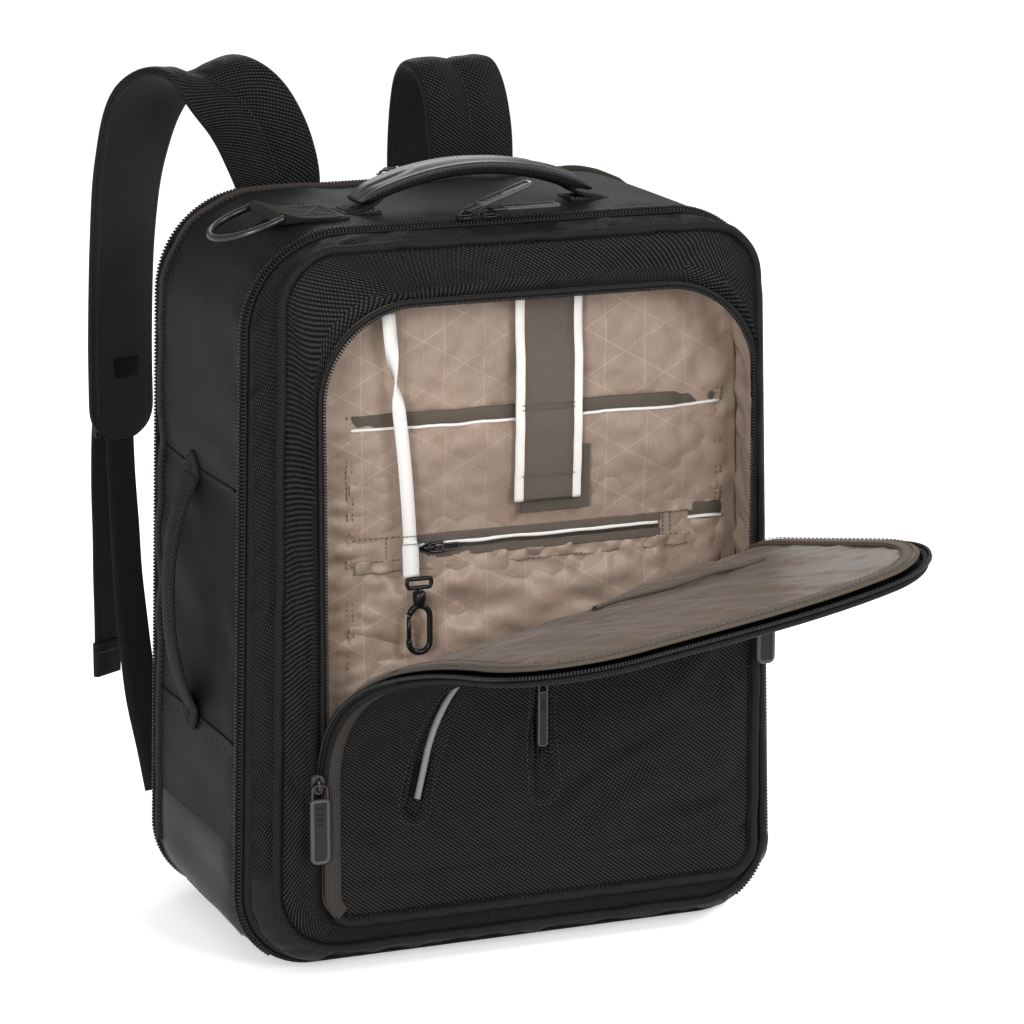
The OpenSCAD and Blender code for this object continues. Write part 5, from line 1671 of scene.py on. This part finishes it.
pads = [
    back_pad("back_pad_left", -122, -20, 144, 394, 14, (("z", 227), ("z", 311))),
    back_pad("back_pad_right", 20, 122, 144, 394, 14, (("z", 227), ("z", 311))),
    back_pad("lumbar_pad", -120, 120, 48, 134, 16, (("x", -40), ("x", 40))),
]
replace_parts(pads[0], "back_pads")

# ---------------------------------------------------------------- inside: divider, laptop sleeve, base board

loop_d = shell_outline(6.0)
c_d = np.array([0.0, 232.0])
P = []
for f, y in ((0.02, 61.0), (0.2, 61.0), (0.5, 60.9), (0.85, 60.7), (0.975, 60.6), (0.985, 60.1), (1.0, 60.3),
        (1.0, 64.7), (0.985, 64.9), (0.975, 64.4), (0.85, 64.2), (0.5, 64.1), (0.2, 64.0), (0.02, 64.0)):
    p = at_y((loop_d - c_d) * f + c_d, y)
    p[:, 1] += 0.35 * ripple(p[:, ::2], 70, 311) * (f < 0.96)
    P.append(p)
div = grid("divider_cloth", np.stack(P), ["lining", "binding"], "bag", loop_u=True, uv=np.stack(P)[..., [0, 2]],
    caps=True, index=lambda r, c: np.where((r >= 5) & (r < 8), 1, 0))
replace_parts(div, "divider")
T = rows(44, 0.3)
zz = 31 + 298 * rows(48, 0.3)
X = -149 + 298 * T[None] + 0 * zz[:, None]
Z = zz[:, None] + 0 * T[None]
edge = np.minimum(np.minimum(X + 149, 149 - X), Z - 31)
front_y = 66.0 + 10.4 * smooth(edge / 9) - 0.9 * ripple(stacked(X, Z), 80, 321) * smooth(edge / 20) + 0.4
outer_p = stacked(X, np.clip(front_y, 65.2, 76.9), Z)
inner_p = outer_p[::-1, ::1] - [0, 1.4, 0]
sleeve = bake(grid("laptop_sleeve_cloth", np.concatenate([outer_p, inner_p]), "lining_plain", "bag",
    uv=stacked(np.concatenate([X, X]), np.concatenate([Z, Z[::-1]])), loop_v=True), 1)
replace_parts(sleeve, "laptop_sleeve")
x = np.linspace(-148, 148, 60)
rim_y = 66.0 + 10.4 * smooth((148 - abs(x)) / 9)
tube("laptop_sleeve_binding", stacked(x, np.clip(rim_y - 0.6, 66, 75.6), 0 * x + 329), 2.0, "binding", "bag",
    up=TO_REAR, n=8, squash=0.7)
for k, x0 in enumerate((-146.5, 146.5)):
    stitches(f"laptop_sleeve_stitching_{k}", [(x0, 66.9, 34), (x0, 66.9, 326)], TO_REAR, "thread_taupe", "bag")
for slot_ in bpy.data.objects["base_board"].material_slots:
    slot_.material = M["board"]

# ---------------------------------------------------------------- floor, light and camera

floor_mat, floor_tree, floor_shader = material("pale_floor", 0.8)
tone = noise(floor_tree, node(floor_tree, "TexCoord", out=3), 2.0)
link(floor_tree, mixed(floor_tree, tone, (0.86, 0.86, 0.86), (0.9, 0.9, 0.9)), floor_shader.inputs["Base Color"])
mesh = bpy.data.meshes.new("floor")
mesh.from_pydata([(-40, -40, 0), (40, -40, 0), (40, 40, 0), (-40, 40, 0)], [], [(0, 1, 2, 3)])
mesh.materials.append(floor_mat)
floor = bpy.data.objects.new("floor", mesh)
bpy.context.scene.collection.objects.link(floor)
floor_shader.inputs["Emission Color"].default_value = (1, 1, 1, 1)
floor_shader.inputs["Emission Strength"].default_value = 0.42

world = bpy.data.worlds.new("studio")
bpy.context.scene.world = world
world.use_nodes = True
world.node_tree.nodes["Background"].inputs[0].default_value = (1, 1, 1, 1)
world.node_tree.nodes["Background"].inputs[1].default_value = 0.66


def lamp(name, place, target, size, power):
    light = bpy.data.lights.new(name, "AREA")
    light.shape, light.size, light.size_y, light.energy = "RECTANGLE", size[0], size[1], power
    obj = bpy.data.objects.new(name, light)
    obj.location = place
    obj.rotation_euler = (Vector(target) - Vector(place)).to_track_quat("-Z", "Y").to_euler()
    bpy.context.scene.collection.objects.link(obj)


lamp("key", (-1.7, -2.2, 0.95), (0, 0, 0.25), (0.7, 0.7), 44)
lamp("front", (0.7, -2.6, 1.5), (0, 0, 0.25), (0.9, 0.9), 34)
lamp("side", (2.0, -1.2, 1.9), (0, 0, 0.2), (0.8, 0.8), 34)
lamp("rear", (0.6, 2.3, 1.6), (0, 0, 0.3), (1.2, 1.2), 14)

view = bpy.data.cameras.new("camera")
view.sensor_width, view.lens, view.clip_end = 36.0, 147.7, 200.0
eye = bpy.data.objects.new("camera", view)
eye.location = (-0.95267, -2.45057, 0.87846)
eye.rotation_euler = (Vector((0, -0.095, 0.280)) - eye.location).to_track_quat("-Z", "Y").to_euler()
bpy.context.scene.collection.objects.link(eye)
bpy.context.scene.camera = eye
bpy.context.scene.view_settings.view_transform = "Standard"
bpy.context.scene.view_settings.gamma = 0.86
